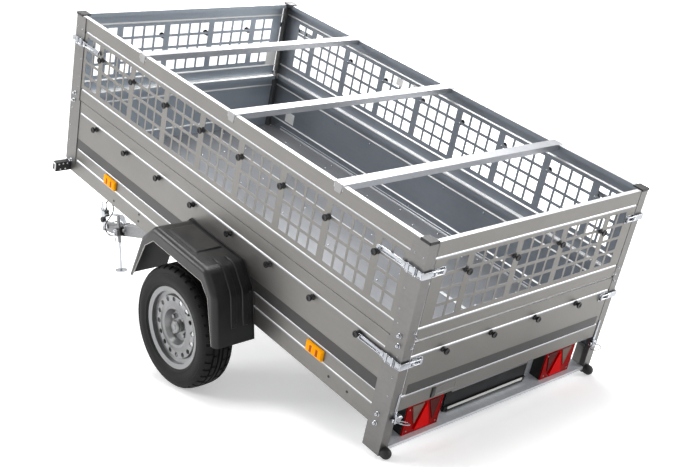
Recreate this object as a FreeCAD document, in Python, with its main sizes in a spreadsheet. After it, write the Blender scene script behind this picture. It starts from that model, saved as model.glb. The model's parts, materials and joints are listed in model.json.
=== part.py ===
"""Tipping garden trailer with mesh side extensions, as a parametric FreeCAD document.

The bed stands tipped back on its two rear buffers, as it is parked, and the drawbar rests on its
support leg. Three local frames are used, all with x forward, y to the left and z up, in mm:

* bed frame: the origin is the middle of the wheel axis, and the bed's floor is level in it;
* drawbar frame: the origin is the tipping pin, and x runs along the drawbar;
* ground frame: the frame of the finished model, with the floor at z = 0.
"""

import FreeCAD, Part
import os
import re
import Sketcher
from FreeCAD import Placement, Rotation, Vector

DIMENSIONS = [
    # alias, value in mm or a count, meaning
    ("bed_length", 2404, "outer length of the bed over the corner posts"),
    ("bed_width", 1294, "outer width of the bed over the corner posts"),
    ("rear_overhang", 1125, "wheel axis to the rear face of the bed"),
    ("floor_level", 245, "top of the floor above the wheel axis"),
    ("board_height", 300, "lower boards above the floor"),
    ("skirt_depth", 85, "lower boards below the floor"),
    ("mesh_height", 410, "mesh panels above the lower boards"),
    ("sheet_wall", 1.5, "folded sheet of boards and mesh panels"),
    ("panel_depth", 22, "flange depth of a folded panel"),
    ("panel_lip", 20, "lip turned down from a panel's top flange"),
    ("panel_gap", 2.5, "gap between a fixed mesh panel and the board under it"),
    ("seat_gap", 0.3, "gap between fixed pieces that seat on each other"),
    ("moving_gap", 5, "gap round a tailgate or mesh door"),
    ("door_step", 10, "gap between the tailgate's top edge and the mesh door"),
    ("bead_reach", 5, "depth of a pressed bead"),
    ("bead_span", 12, "height of a pressed bead"),
    ("mesh_bead_high", 64, "upper bead of a mesh panel below its top"),
    ("mesh_bead_low", 350, "lower bead of a mesh panel below its top"),
    ("board_bead_high", 60, "upper bead of a board below its top"),
    ("board_bead_middle", 248, "middle bead of a board below its top"),
    ("board_bead_low", 310, "lower bead of a side board below its top"),
    ("gate_bead_low", 235, "lower bead of the tailgate below its top"),
    ("cell_size", 50, "side of a mesh opening"),
    ("cell_pitch", 62.3, "mesh openings, column to column"),
    ("row_pitch", 63.3, "mesh openings, row to row"),
    ("cell_columns", 4, "columns in a full group"),
    ("cell_rows", 4, "rows of openings"),
    ("cell_drop", 84.5, "top of the highest row below the panel's top"),
    ("side_groups", 7, "full groups in a side panel"),
    ("side_group_pitch", 275.5, "groups of a side panel, group to group"),
    ("end_groups", 3, "full groups in a front or rear panel"),
    ("end_group_pitch", 271, "groups of a front or rear panel, group to group"),
    ("post_wall", 3, "wall of the corner posts"),
    ("post_side_leg", 90, "lower corner post along the bed's side"),
    ("mesh_post_leg", 80, "upper corner post along the bed's side"),
    ("post_end_leg", 45, "corner posts across the bed's end"),
    ("post_return", 26, "leg of a corner post that turns into the bed"),
    ("foot_level", 55, "bottom of the rear posts above the wheel axis"),
    ("front_post_level", 210, "bottom of the front posts above the wheel axis"),
    ("cap_height", 6, "plate on top of a corner post"),
    ("bar_width", 50, "width of a crossbar"),
    ("bar_height", 26, "height of a crossbar"),
    ("bar_proud", 6, "crossbar above the rim"),
    ("bar_wall", 2, "wall of a crossbar"),
    ("bar_first", 485, "rear crossbar ahead of the bed's rear face"),
    ("bar_pitch", 672, "crossbar to crossbar"),
    ("floor_wall", 1.5, "thickness of the floor sheet"),
    ("cross_width", 45, "width of an underfloor cross member"),
    ("cross_height", 56, "height of an underfloor cross member"),
    ("rail_width", 50, "width of a centre rail"),
    ("rail_height", 32, "height of a centre rail"),
    ("rail_offset", 62, "centre rail from the bed's centre line"),
    ("frame_wall", 2.5, "wall of the underfloor members"),
    ("hinge_inset", 11, "door hinge axis inside the panel's outer face and lower edge"),
    ("hinge_pin_radius", 4, "pin of the door hinges"),
    ("hinge_pin_reach", 12, "pin of the door hinges inside the door's end"),
    ("lug_wall", 4, "lug at a door's end that turns on the hinge pin"),
    ("sill_depth", 80, "rear sill from the bed's rear face"),
    ("sill_lip", 15, "lip of the rear sill"),
    ("sill_level", 84, "shelf of the rear sill above the wheel axis"),
    ("lamp_width", 195, "rear lamp across the bed"),
    ("lamp_height", 138, "height of a rear lamp"),
    ("lamp_offset", 416, "rear lamp from the bed's centre line"),
    ("lamp_setback", 20, "rear lamp's base face ahead of the bed's rear face"),
    ("lens_depth", 8, "depth of a rear lamp's lens at its edge"),
    ("plate_width", 500, "number plate carrier across the bed"),
    ("plate_height", 112, "height of the number plate carrier"),
    ("buffer_radius", 22, "radius of a rear buffer"),
    ("buffer_reach", 38, "rear buffer behind the bed"),
    ("buffer_level", 70, "centre of a rear buffer above the wheel axis"),
    ("tyre_radius", 273.5, "155/70 R13 tyre"),
    ("tyre_width", 155, "section width of the tyre"),
    ("tyre_wall", 10, "wall of the tyre"),
    ("rim_radius", 182, "flange radius of the 13 inch rim"),
    ("rim_half_width", 64, "half width of the rim over its flanges"),
    ("rim_wall", 4, "wall of the rim"),
    ("track_half", 756, "wheel's centre plane from the bed's centre line"),
    ("disc_offset", 16, "hub face outside the wheel's centre plane"),
    ("vent_holes", 16, "round holes in the wheel disc"),
    ("vent_circle", 125, "radius of the circle of holes"),
    ("vent_radius", 11, "radius of a hole"),
    ("bolt_circle", 50, "radius of the wheel bolt circle"),
    ("hub_radius", 38, "radius of the hub barrel"),
    ("hub_flange_radius", 66, "radius of the hub flange"),
    ("spindle_radius", 17, "radius of the wheel spindle"),
    ("running_gap", 0.1, "radial gap in a bearing"),
    ("beam_size", 60, "side of the square axle beam"),
    ("beam_wall", 4, "wall of the axle beam"),
    ("beam_lead", 112, "axle beam ahead of the wheel axis"),
    ("beam_rise", 98, "axle beam above the wheel axis"),
    ("beam_half", 560, "half length of the axle beam"),
    ("arm_width", 26, "width of a trailing arm"),
    ("guard_half_top", 195, "half length of the mudguard's flat top"),
    ("guard_half_knee", 275, "half length of the mudguard at its knees"),
    ("guard_half_foot", 333, "half length of the mudguard at its feet"),
    ("guard_top", 397, "top of the mudguard above the wheel axis"),
    ("guard_knee", 310, "knees of the mudguard above the wheel axis"),
    ("guard_foot", 96, "feet of the mudguard above the wheel axis"),
    ("guard_lip", 62, "depth of the mudguard's side flange at its top"),
    ("guard_lip_foot", 28, "depth of the mudguard's side flange at its feet"),
    ("guard_width", 198, "width of the mudguard"),
    ("guard_wall", 4, "wall of the mudguard"),
    ("pin_lead", 200, "tipping pin ahead of the wheel axis"),
    ("pin_rise", 108, "tipping pin above the wheel axis"),
    ("pin_radius", 8, "tipping pin"),
    ("sleeve_radius", 21, "sleeve of the drawbar on the tipping pin"),
    ("sleeve_proud", 5, "sleeve past each side of the drawbar's tube"),
    ("ear_gap", 1, "gap between the sleeve and each ear"),
    ("ear_wall", 6, "plate of an ear"),
    ("tube_size", 60, "side of the drawbar's square tube"),
    ("tube_wall", 3, "wall of the drawbar's tube"),
    ("drawbar_reach", 1785, "tipping pin to the coupling's ball centre"),
    ("tube_end", 1640, "tipping pin to the front end of the drawbar's tube"),
    ("ball_level", 230, "coupling's ball centre above the ground"),
    ("ball_rise", 20, "coupling's ball centre above the drawbar's axis"),
    ("socket_radius", 25, "radius of the coupling's socket for a 50 mm ball"),
    ("ball_gap", 0.2, "gap between the socket and the ball"),
    ("leg_reach", 1575, "tipping pin to the support leg along the drawbar"),
    ("leg_radius", 10, "outer tube of the support leg"),
    ("leg_rod_radius", 7, "rod that slides in the support leg"),
    ("leg_clamp_radius", 14, "clamp ring round the support leg"),
    ("clamp_wall", 5, "plate of the leg's clamp on the drawbar"),
    ("leg_low", 172, "lower end of the leg's outer tube above the ground"),
    ("leg_high", 335, "upper end of the leg's outer tube above the ground"),
    ("foot_radius", 35, "foot plate of the support leg"),
    ("frame_shift", 0, "wheel axis ahead of the middle of the whole trailer, worked out last"),
]
ALIASES = {alias for alias, value, meaning in DIMENSIONS}

# Angles and levels worked out from the dimensions, as expressions
BUFFER_BACK = "(rear_overhang + buffer_reach - buffer_radius)"
BUFFER_ARM = f"sqrt({BUFFER_BACK}^2 + buffer_level^2)"
TIP = f"(asin((tyre_radius - buffer_radius) / {BUFFER_ARM}) + atan(buffer_level / {BUFFER_BACK}))"
PIN_X = f"(frame_shift + pin_lead * cos({TIP}) - pin_rise * sin({TIP}))"
PIN_Z = f"(tyre_radius + pin_lead * sin({TIP}) + pin_rise * cos({TIP}))"
BALL_ARM = "sqrt(drawbar_reach^2 + ball_rise^2)"
SLOPE = f"(asin(({PIN_Z} - ball_level) / {BALL_ARM}) + atan(ball_rise / drawbar_reach))"
RIM_TOP = "(floor_level + board_height + mesh_height)"
BOARD_TOP = "(floor_level + board_height)"
REAR = "(-rear_overhang)"
FRONT = "(bed_length - rear_overhang)"
MIDDLE = "(bed_length / 2 - rear_overhang)"
SIDE_FACE = "(bed_width / 2 - post_wall - seat_gap)"
POST_INNER = "(bed_width / 2 - post_end_leg)"
DOOR_HALF = f"({POST_INNER} - moving_gap)"
FLOOR_UNDER = "(floor_level - floor_wall)"

doc = FreeCAD.newDocument("trailer")
dims = doc.addObject("Spreadsheet::Sheet", "Dims")
for row, (alias, value, meaning) in enumerate(DIMENSIONS, start=1):
    dims.set(f"A{row}", alias)
    dims.set(f"B{row}", str(value))
    dims.set(f"C{row}", meaning)
    dims.setAlias(f"B{row}", alias)
doc.recompute()


def tie(expression):
    """Return the expression with each alias pointing at its cell of the sheet."""
    return re.sub(r"[a-z_]+", lambda word: f"Dims.{word[0]}" if word[0] in ALIASES else word[0], expression)


def number(expression):
    """Return the value that an expression has now."""
    found = dims.evalExpression(tie(expression))
    return float(getattr(found, "Value", found))


def bind(thing, **sizes):
    """Bind properties of an object to expressions over the sheet."""
    for name, expression in sizes.items():
        thing.setExpression(name, tie(expression))
    return thing


def place(thing, x="0", y="0", z="0"):
    """Bind an object's position to three expressions."""
    for axis, expression in (("x", x), ("y", y), ("z", z)):
        thing.setExpression(f".Placement.Base.{axis}", tie(expression))
    return thing


def box(label, low, size):
    """Make a box from its low corner and its three sizes."""
    thing = bind(doc.addObject("Part::Box", label), Length=size[0], Width=size[1], Height=size[2])
    return place(thing, *low)


TURNS = {
    "x": Rotation(Vector(0, 1, 0), 90),
    "y": Rotation(Vector(1, 0, 0), -90),
    "z": Rotation(),
}


def rod(label, axis, low, radius, length):
    """Make a cylinder along an axis from the centre of its low end."""
    thing = bind(doc.addObject("Part::Cylinder", label), Radius=radius, Height=length)
    thing.Placement = Placement(Vector(), TURNS[axis])
    return place(thing, *low)


def ball(label, centre, radius):
    """Make a ball round a centre."""
    return place(bind(doc.addObject("Part::Sphere", label), Radius=radius), *centre)


def rear_dome(label, centre, radius):
    """Make the half of a ball that faces backwards."""
    thing = bind(doc.addObject("Part::Sphere", label), Radius=radius)
    thing.Angle1 = 0
    thing.Placement = Placement(Vector(), Rotation(Vector(0, 1, 0), -90))
    return place(thing, *centre)


def fuse(label, shapes):
    """Join shapes into one."""
    thing = doc.addObject("Part::MultiFuse", label)
    thing.Shapes = shapes
    thing.Refine = True
    return thing


def group(label, shapes):
    """Keep separate solids in one sub-part."""
    thing = doc.addObject("Part::Compound", label)
    thing.Links = shapes
    return thing


def cut(label, base, tools):
    """Take the tools away from the base."""
    thing = doc.addObject("Part::Cut", label)
    thing.Base = base
    thing.Tool = tools[0] if len(tools) == 1 else fuse(f"{label}_tools", tools)
    return thing


def side_name(side):
    """Return the word for the side at +y or -y."""
    return "left" if side > 0 else "right"


def outline(body, label, plane, corners, offset="0"):
    """Draw a closed outline of straight lines on one of a body's origin planes.

    Each corner is a pair of expressions. Offset moves the outline along the plane's axis.
    """
    sketch = body.newObject("Sketcher::SketchObject", label)
    origin_plane = [item for item in body.Origin.OriginFeatures if item.Role == f"{plane}_Plane"][0]
    sketch.AttachmentSupport = [(origin_plane, "")]
    sketch.MapMode = "FlatFace"
    flip = "-1 * " if plane == "XZ" else ""
    sketch.setExpression(".AttachmentOffset.Base.z", tie(f"{flip}({offset})"))
    points = [Vector(number(across), number(up), 0) for across, up in corners]
    lines = [Part.LineSegment(first, points[(index + 1) % len(points)]) for index, first in enumerate(points)]
    sketch.addGeometry(lines)
    for index in range(len(points)):
        sketch.addConstraint(Sketcher.Constraint("Coincident", index, 2, (index + 1) % len(points), 1))
    for index, (corner, point) in enumerate(zip(corners, points)):
        for kind, expression, value in (("DistanceX", corner[0], point.x), ("DistanceY", corner[1], point.y)):
            at = sketch.addConstraint(Sketcher.Constraint(kind, -1, 1, index, 1, value))
            sketch.setExpression(f"Constraints[{at}]", tie(expression))
    return sketch


def prism(label, plane, corners, length, middle="0"):
    """Make a body by padding an outline both ways from its middle."""
    body = doc.addObject("PartDesign::Body", label)
    sketch = outline(body, f"{label}_outline", plane, corners, middle)
    pad = body.newObject("PartDesign::Pad", f"{label}_pad")
    pad.Profile = sketch
    pad.Midplane = True
    bind(pad, Length=length)
    return body


def pocket(body, label, plane, corners, length=None, middle="0"):
    """Cut an outline out of a body, right through or over a length about its middle."""
    sketch = outline(body, f"{label}_outline", plane, corners, middle)
    hole = body.newObject("PartDesign::Pocket", label)
    hole.Profile = sketch
    hole.Midplane = True
    if length is None:
        hole.Type = "ThroughAll"
    else:
        bind(hole, Length=length)
    return hole


def revolved(label, corners):
    """Make a body by turning an outline of (radius, y) corners round the y axis."""
    body = doc.addObject("PartDesign::Body", label)
    sketch = outline(body, f"{label}_outline", "XY", corners)
    turn = body.newObject("PartDesign::Revolution", f"{label}_turn")
    turn.Profile = sketch
    turn.ReferenceAxis = (sketch, ["V_Axis"])
    turn.Angle = 360
    return body


def rectangle(low, high):
    """Return the corners of a rectangle from two opposite corners."""
    return [(low[0], low[1]), (high[0], low[1]), (high[0], high[1]), (low[0], high[1])]


def folded_panel(label, run, face, inward, bottom, top, beads, length, middle):
    """Fold one sheet into a panel with a bottom flange, a lipped top flange and pressed beads.

    Run is the axis along the panel, face its outer face, inward the sign of the way into the bed,
    and beads the depths of the beads below the top, from the lowest to the highest.
    """
    def across(depth):
        return f"{face} + {inward} * ({depth})"

    outer = [(across("panel_depth"), bottom), (across("0"), bottom)]
    inner = []
    for bead in beads:
        level = f"({top} - {bead})"
        for depth, up in (("0", "-1"), ("bead_reach", "0"), ("0", "1")):
            outer.append((across(depth), f"{level} + {up} * bead_span / 2"))
            inner.insert(0, (across(f"{depth} + sheet_wall"), f"{level} + {up} * bead_span / 2"))
    outer += [
        (across("0"), top),
        (across("panel_depth"), top),
        (across("panel_depth"), f"{top} - panel_lip"),
        (across("panel_depth - sheet_wall"), f"{top} - panel_lip"),
        (across("panel_depth - sheet_wall"), f"{top} - sheet_wall"),
        (across("sheet_wall"), f"{top} - sheet_wall"),
    ]
    inner += [(across("sheet_wall"), f"{bottom} + sheet_wall"), (across("panel_depth"), f"{bottom} + sheet_wall")]
    plane = {"x": "YZ", "y": "XZ"}[run]
    return prism(label, plane, outer + inner, length, middle)


def cell_pattern(body, label, plane, first, columns, groups, group_pitch, way="1"):
    """Cut groups of square mesh openings, starting from the low corner of the top first one."""
    top = f"{RIM_TOP} - cell_drop"
    corners = rectangle((first, f"{top} - cell_size"), (f"{first} + {way} * cell_size", top))
    hole = pocket(body, label, plane, corners)
    sketch = hole.Profile[0]
    steps = (
        ("H_Axis", way, "cell_pitch", columns),
        ("H_Axis", way, group_pitch, groups),
        ("V_Axis", "-1", "row_pitch", "cell_rows"),
    )
    patterns = []
    whole = body.newObject("PartDesign::MultiTransform", f"{label}_pattern")
    whole.Originals = [hole]
    for axis, sign, pitch, count in steps:
        if number(count) < 2:
            continue
        pattern = body.newObject("PartDesign::LinearPattern", f"{label}_{axis}_{len(patterns)}")
        pattern.Direction = (sketch, [axis])
        pattern.Reversed = sign == "-1"
        bind(pattern, Length=f"{pitch} * ({count} - 1)", Occurrences=count)
        patterns.append(pattern)
    whole.Transformations = patterns
    body.Tip = whole
    return whole


# ------------------------------------------------------------------------------------- bed boards
def side_boards():
    """Fold the two lower side boards, which run from post to post inside the corner posts."""
    beads = ("board_bead_low", "board_bead_middle", "board_bead_high")
    return [
        folded_panel(
            f"side_board_{side_name(side)}", "x", f"{side} * {SIDE_FACE}", -side,
            "floor_level - skirt_depth", BOARD_TOP, beads,
            "bed_length - 2 * post_wall - 2 * seat_gap", MIDDLE,
        )
        for side in (1, -1)
    ]


def front_board():
    """Fold the fixed lower board at the front."""
    return folded_panel(
        "front_board", "y", FRONT, -1, "floor_level - skirt_depth", BOARD_TOP,
        ("board_bead_low", "board_bead_middle", "board_bead_high"),
        f"2 * ({POST_INNER} - seat_gap)", "0",
    )


def tailgate():
    """Fold the tailgate and weld its hinge eyes to its lower corners."""
    panel = folded_panel(
        "tailgate_panel", "y", REAR, 1, "floor_level", BOARD_TOP,
        ("gate_bead_low", "board_bead_high"), f"2 * {DOOR_HALF}", "0",
    )
    return hung_door("tailgate", panel, REAR, 1, "floor_level")


def hung_door(label, panel, face, inward, bottom):
    """Weld a lug with a bore for the hinge pin to each lower corner of a door's panel."""
    axis_x = f"{face} + {inward} * hinge_inset"
    axis_z = f"{bottom} + hinge_inset"
    low_x = f"{face} + sheet_wall / 2" if inward > 0 else f"{face} - panel_depth"
    size = ("panel_depth - sheet_wall / 2", "lug_wall", "panel_depth - sheet_wall / 2")
    lugs = [
        box(f"{label}_lug_{side_name(side)}", (low_x, low_y, f"{bottom} + sheet_wall / 2"), size)
        for side, low_y in ((1, f"{DOOR_HALF} - lug_wall"), (-1, f"-{DOOR_HALF}"))
    ]
    bore = rod(f"{label}_bore", "y", (axis_x, f"-{DOOR_HALF} - 10", axis_z), "hinge_pin_radius + running_gap",
               f"2 * {DOOR_HALF} + 20")
    return cut(label, fuse(f"{label}_welded", [panel] + lugs), [bore])


# ------------------------------------------------------------------------------------ mesh panels
def mesh_side_panels():
    """Fold the two fixed mesh panels, with square openings and notches for the crossbars."""
    panels = []
    group_width = "((cell_columns - 1) * cell_pitch + cell_size)"
    first = f"({MIDDLE} - ((side_groups - 1) * side_group_pitch + {group_width}) / 2)"
    post = "(side_group_pitch - cell_columns * cell_pitch + cell_pitch - cell_size)"
    for side in (1, -1):
        label = f"mesh_panel_{side_name(side)}"
        panel = folded_panel(
            label, "x", f"{side} * {SIDE_FACE}", -side, f"{BOARD_TOP} + panel_gap", RIM_TOP,
            ("mesh_bead_low", "mesh_bead_high"), "bed_length - 2 * post_wall - 2 * seat_gap", MIDDLE,
        )
        cell_pattern(panel, f"{label}_cells", "XZ", first, "cell_columns", "side_groups", "side_group_pitch")
        ends = "(bed_length - 2 * rear_overhang)"
        low_end = f"({first} - {post} - cell_pitch - cell_size)"
        span = f"({ends} - 2 * {low_end} - cell_pitch - cell_size)"
        cell_pattern(panel, f"{label}_end_cells", "XZ", low_end, "2", "2", span)
        bars = pocket(
            panel, f"{label}_notch", "XZ",
            rectangle(
                (f"{REAR} + bar_first - bar_width / 2 - seat_gap", f"{RIM_TOP} + bar_proud - bar_height - seat_gap"),
                (f"{REAR} + bar_first + bar_width / 2 + seat_gap", f"{RIM_TOP} + 1"),
            ),
        )
        row = panel.newObject("PartDesign::LinearPattern", f"{label}_notches")
        row.Originals = [bars]
        row.Direction = (bars.Profile[0], ["H_Axis"])
        row.Occurrences = 3
        bind(row, Length="2 * bar_pitch")
        panel.Tip = row
        panels.append(panel)
    return panels


def mesh_door(label, face, inward):
    """Fold the mesh panel at one end, which hinges along its lower edge."""
    door = folded_panel(
        f"{label}_sheet", "y", face, inward, f"{BOARD_TOP} + door_step", RIM_TOP,
        ("mesh_bead_low", "mesh_bead_high"), f"2 * {DOOR_HALF}", "0",
    )
    group_width = "((cell_columns - 1) * cell_pitch + cell_size)"
    first = f"(-((end_groups - 1) * end_group_pitch + {group_width}) / 2)"
    post = "(end_group_pitch - cell_columns * cell_pitch + cell_pitch - cell_size)"
    low_end = f"({first} - {post} - cell_pitch - cell_size)"
    cell_pattern(door, f"{label}_cells", "YZ", first, "cell_columns", "end_groups", "end_group_pitch")
    cell_pattern(door, f"{label}_end_cells", "YZ", low_end, "2", "2", f"(-2 * {low_end} - cell_pitch - cell_size)")
    return hung_door(label, door, face, inward, f"({BOARD_TOP} + door_step)")


# --------------------------------------------------------------------------------------- corners
def post_corners(side, end, leg):
    """Return the plan outline of a corner post: a channel that holds a side panel's end."""
    face = REAR if end < 0 else FRONT
    out = "bed_width / 2"
    plan = [
        (leg, out), ("0", out), ("0", f"{out} - post_end_leg"),
        ("post_return", f"{out} - post_end_leg"), ("post_return", f"{out} - post_end_leg + post_wall"),
        ("post_wall", f"{out} - post_end_leg + post_wall"), ("post_wall", f"{out} - post_wall"),
        (leg, f"{out} - post_wall"),
    ]
    return [(f"{face} - {end} * ({depth})", f"{side} * ({across})") for depth, across in plan]


def hinge_pin(label, side, end, bottom):
    """Make the pin on a corner post that a door's lug turns on."""
    x = f"{REAR} + hinge_inset" if end < 0 else f"{FRONT} - hinge_inset"
    low = f"{POST_INNER} - moving_gap - hinge_pin_reach" if side > 0 else f"-{POST_INNER} - post_wall / 2"
    length = "moving_gap + hinge_pin_reach + post_wall / 2"
    return rod(label, "y", (x, low, f"{bottom} + hinge_inset"), "hinge_pin_radius", length)


def corner_posts():
    """Make the four lower corner posts and the four mesh posts with their cap plates."""
    lower, upper, caps = [], [], []
    for end, end_name in ((-1, "rear"), (1, "front")):
        for side in (1, -1):
            label = f"{end_name}_{side_name(side)}"
            low = "foot_level" if end < 0 else "front_post_level"
            post = prism(
                f"post_{label}", "XY", post_corners(side, end, "post_side_leg"),
                f"{BOARD_TOP} - {low}", f"({BOARD_TOP} + {low}) / 2",
            )
            if end < 0:
                post = fuse(f"post_pin_{label}", [post, hinge_pin(f"gate_pin_{label}", side, end, "floor_level")])
            lower.append(post)
            mesh_post = prism(
                f"mesh_post_{label}", "XY", post_corners(side, end, "mesh_post_leg"),
                "mesh_height - seat_gap", f"{RIM_TOP} - (mesh_height - seat_gap) / 2",
            )
            pin = hinge_pin(f"mesh_pin_{label}", side, end, f"({BOARD_TOP} + door_step)")
            upper.append(fuse(f"mesh_post_pin_{label}", [mesh_post, pin]))
            face = REAR if end < 0 else f"{FRONT} - post_end_leg - post_wall"
            cap_y = "bed_width / 2 - post_end_leg" if side > 0 else "-bed_width / 2"
            caps.append(box(
                f"cap_{label}", (face, cap_y, f"{RIM_TOP} + seat_gap"),
                ("post_end_leg + post_wall", "post_end_leg", "cap_height"),
            ))
    return [group("lower_posts", lower), group("mesh_posts", upper), group("post_caps", caps)]


def crossbars():
    """Make the three crossbars that lie in the side panels' notches."""
    bars = []
    for index, place_name in enumerate(("rear", "middle", "front")):
        centre = f"({REAR} + bar_first + {index} * bar_pitch)"
        top = f"({RIM_TOP} + bar_proud)"
        outside = rectangle(
            (f"{centre} - bar_width / 2", f"{top} - bar_height"), (f"{centre} + bar_width / 2", top)
        )
        inside = rectangle(
            (f"{centre} - bar_width / 2 + bar_wall", f"{top} - bar_height + bar_wall"),
            (f"{centre} + bar_width / 2 - bar_wall", f"{top} - bar_wall"),
        )
        bar = prism(f"crossbar_{place_name}", "XZ", outside, f"2 * {SIDE_FACE}")
        bar.Tip = pocket(bar, f"crossbar_{place_name}_hollow", "XZ", inside)
        bars.append(bar)
    return bars


# ------------------------------------------------------------------------------------- underfloor
def floor():
    """Cut the floor sheet, with its front corners notched round the corner posts."""
    side = f"({SIDE_FACE} - sheet_wall - seat_gap)"
    notch = f"({POST_INNER} - seat_gap)"
    sweep = "(sqrt(hinge_inset^2 + (panel_depth - hinge_inset)^2) + moving_gap)"
    rear = f"{REAR} + hinge_inset + sqrt({sweep}^2 - hinge_inset^2)"
    front = f"{FRONT} - sheet_wall - seat_gap"
    step = f"{FRONT} - post_return - seat_gap"
    half = [(rear, side), (step, side), (step, notch), (front, notch)]
    mirrored = [(x, f"-{y}") for x, y in reversed(half)]
    return prism("bed_floor", "XY", half + mirrored, "floor_wall", "floor_level - floor_wall / 2")


def underfloor():
    """Make the cross members, the two centre rails and the ears of the tipping pin."""
    top = f"({FLOOR_UNDER} - seat_gap)"
    low = f"({FLOOR_UNDER} - cross_height)"
    wall = "frame_wall"
    members = []
    for index, middle in enumerate((f"{REAR} + 110", "-500", "beam_lead", "650", f"{FRONT} - 60")):
        rear, front = f"({middle} - cross_width / 2)", f"({middle} + cross_width / 2)"
        channel = [
            (rear, top), (rear, low), (front, low), (front, top), (f"{front} - {wall}", top),
            (f"{front} - {wall}", f"{low} + {wall}"), (f"{rear} + {wall}", f"{low} + {wall}"), (f"{rear} + {wall}", top),
        ]
        reach = f"2 * ({SIDE_FACE} - bead_reach - sheet_wall - seat_gap)"
        members.append(prism(f"cross_member_{index}", "XZ", channel, reach))
    rails, ears = [], []
    rail_top = f"({low} - seat_gap)"
    rail_low = f"({low} - rail_height)"
    start, stop = "(beam_lead - 120)", f"({FRONT} - 40)"
    bore = ("pin_lead", "-2 * tube_size", "pin_rise")
    for side in (1, -1):
        name = side_name(side)
        inner, outer = f"{side} * rail_offset - rail_width / 2", f"{side} * rail_offset + rail_width / 2"
        shape = rectangle((inner, rail_low), (outer, rail_top))
        rail = prism(f"rail_{name}", "YZ", shape, f"{stop} - {start}", f"({stop} + {start}) / 2")
        hollow = rectangle((f"{inner} + {wall}", f"{rail_low} + {wall}"), (f"{outer} - {wall}", f"{rail_top} - {wall}"))
        rail.Tip = pocket(rail, f"rail_hollow_{name}", "YZ", hollow)
        rails.append(rail)
        ear = [
            ("pin_lead - 45", f"{rail_low} - seat_gap"), ("pin_lead - 24", "pin_rise - 24"),
            ("pin_lead + 24", "pin_rise - 24"), ("pin_lead + 45", f"{rail_low} - seat_gap"),
        ]
        middle = f"{side} * (tube_size / 2 + sleeve_proud + ear_gap + ear_wall / 2)"
        plate = prism(f"ear_plate_{name}", "XZ", ear, "ear_wall", middle)
        hole = rod(f"ear_bore_{name}", "y", bore, "pin_radius + running_gap", "4 * tube_size")
        ears.append(cut(f"ear_{name}", plate, [hole]))
    return [group("cross_members", members), group("centre_rails", rails), group("pivot_ears", ears)]


def tipping_pin():
    """Make the pin that the drawbar turns on, with its head and nut."""
    reach = "(tube_size / 2 + sleeve_proud + ear_gap + ear_wall)"
    shaft = rod("pin_shaft", "y", ("pin_lead", f"-{reach} - 12", "pin_rise"), "pin_radius", f"2 * {reach} + 24")
    head = rod("pin_head", "y", ("pin_lead", f"{reach} + seat_gap", "pin_rise"), "pin_radius + 6", "10")
    nut = rod("pin_nut", "y", ("pin_lead", f"-{reach} - seat_gap - 10", "pin_rise"), "pin_radius + 6", "10")
    return fuse("tipping_pin", [shaft, head, nut])


def axle_beam():
    """Make the square axle beam with its mounting brackets, trailing arms and wheel spindles."""
    half = "beam_size / 2"
    tube = prism(
        "beam_tube", "XZ",
        rectangle((f"beam_lead - {half}", f"beam_rise - {half}"), (f"beam_lead + {half}", f"beam_rise + {half}")),
        "2 * beam_half",
    )
    tube.Tip = pocket(
        tube, "beam_hollow", "XZ",
        rectangle(
            (f"beam_lead - {half} + beam_wall", f"beam_rise - {half} + beam_wall"),
            (f"beam_lead + {half} - beam_wall", f"beam_rise + {half} - beam_wall"),
        ),
    )
    pieces = [tube]
    bracket_top = f"({FLOOR_UNDER} - cross_height - seat_gap)"
    for side in (1, -1):
        name = side_name(side)
        pieces.append(box(
            f"beam_bracket_{name}",
            (f"beam_lead - cross_width / 2", f"{side} * 470 - 40", f"beam_rise + {half}"),
            ("cross_width", "80", f"{bracket_top} - beam_rise - {half}"),
        ))
        arm = [
            ("-28", "-20"), ("-20", "-30"), ("20", "-30"), (f"beam_lead + {half}", f"beam_rise - {half}"),
            (f"beam_lead + {half}", f"beam_rise + {half}"), (f"beam_lead - {half}", f"beam_rise + {half}"),
            ("-20", "30"), ("-28", "20"),
        ]
        pieces.append(prism(f"arm_{name}", "XZ", arm, "arm_width", f"{side} * (beam_half + arm_width / 2)"))
        low = "beam_half" if side > 0 else "-(track_half + disc_offset - 6)"
        pieces.append(rod(
            f"spindle_{name}", "y", ("0", low, "0"), "spindle_radius", "track_half + disc_offset - 6 - beam_half",
        ))
    return fuse("axle_beam", pieces)


# ------------------------------------------------------------------------------------------ rear
def rear_sill():
    """Fold the sill that carries the lamps and the number plate, under the tailgate."""
    back = f"({REAR} + sill_depth)"
    wall = "frame_wall"
    top = f"({FLOOR_UNDER} - cross_height - seat_gap)"
    plan = [
        (REAR, "sill_level - sill_lip"), (f"{REAR} + {wall}", "sill_level - sill_lip"),
        (f"{REAR} + {wall}", f"sill_level - {wall}"), (f"{back} + {wall}", f"sill_level - {wall}"),
        (f"{back} + {wall}", f"{top} - {wall}"), (f"{back} + cross_width", f"{top} - {wall}"),
        (f"{back} + cross_width", top),
        (back, top), (back, "sill_level"), (REAR, "sill_level"),
    ]
    return prism("rear_sill", "XZ", plan, f"2 * ({POST_INNER} - seat_gap)")


def rear_lamps():
    """Make the two rear lamps, each a housing with a faceted triangular lens."""
    housings, lenses = [], []
    base = f"({REAR} + lamp_setback)"
    for side in (1, -1):
        name = side_name(side)
        low_y = f"{side} * lamp_offset - lamp_width / 2"
        housings.append(box(
            f"housing_{name}", (f"{base} + lens_depth", low_y, "sill_level + seat_gap"),
            ("sill_depth - lamp_setback - lens_depth - seat_gap", "lamp_width", "lamp_height"),
        ))
        lenses.append(box(
            f"lens_{name}", (base, low_y, "sill_level + seat_gap"), ("lens_depth - seat_gap", "lamp_width", "lamp_height"),
        ))
    return [group("rear_lamp_housings", housings), group("rear_lenses", lenses)]


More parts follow.
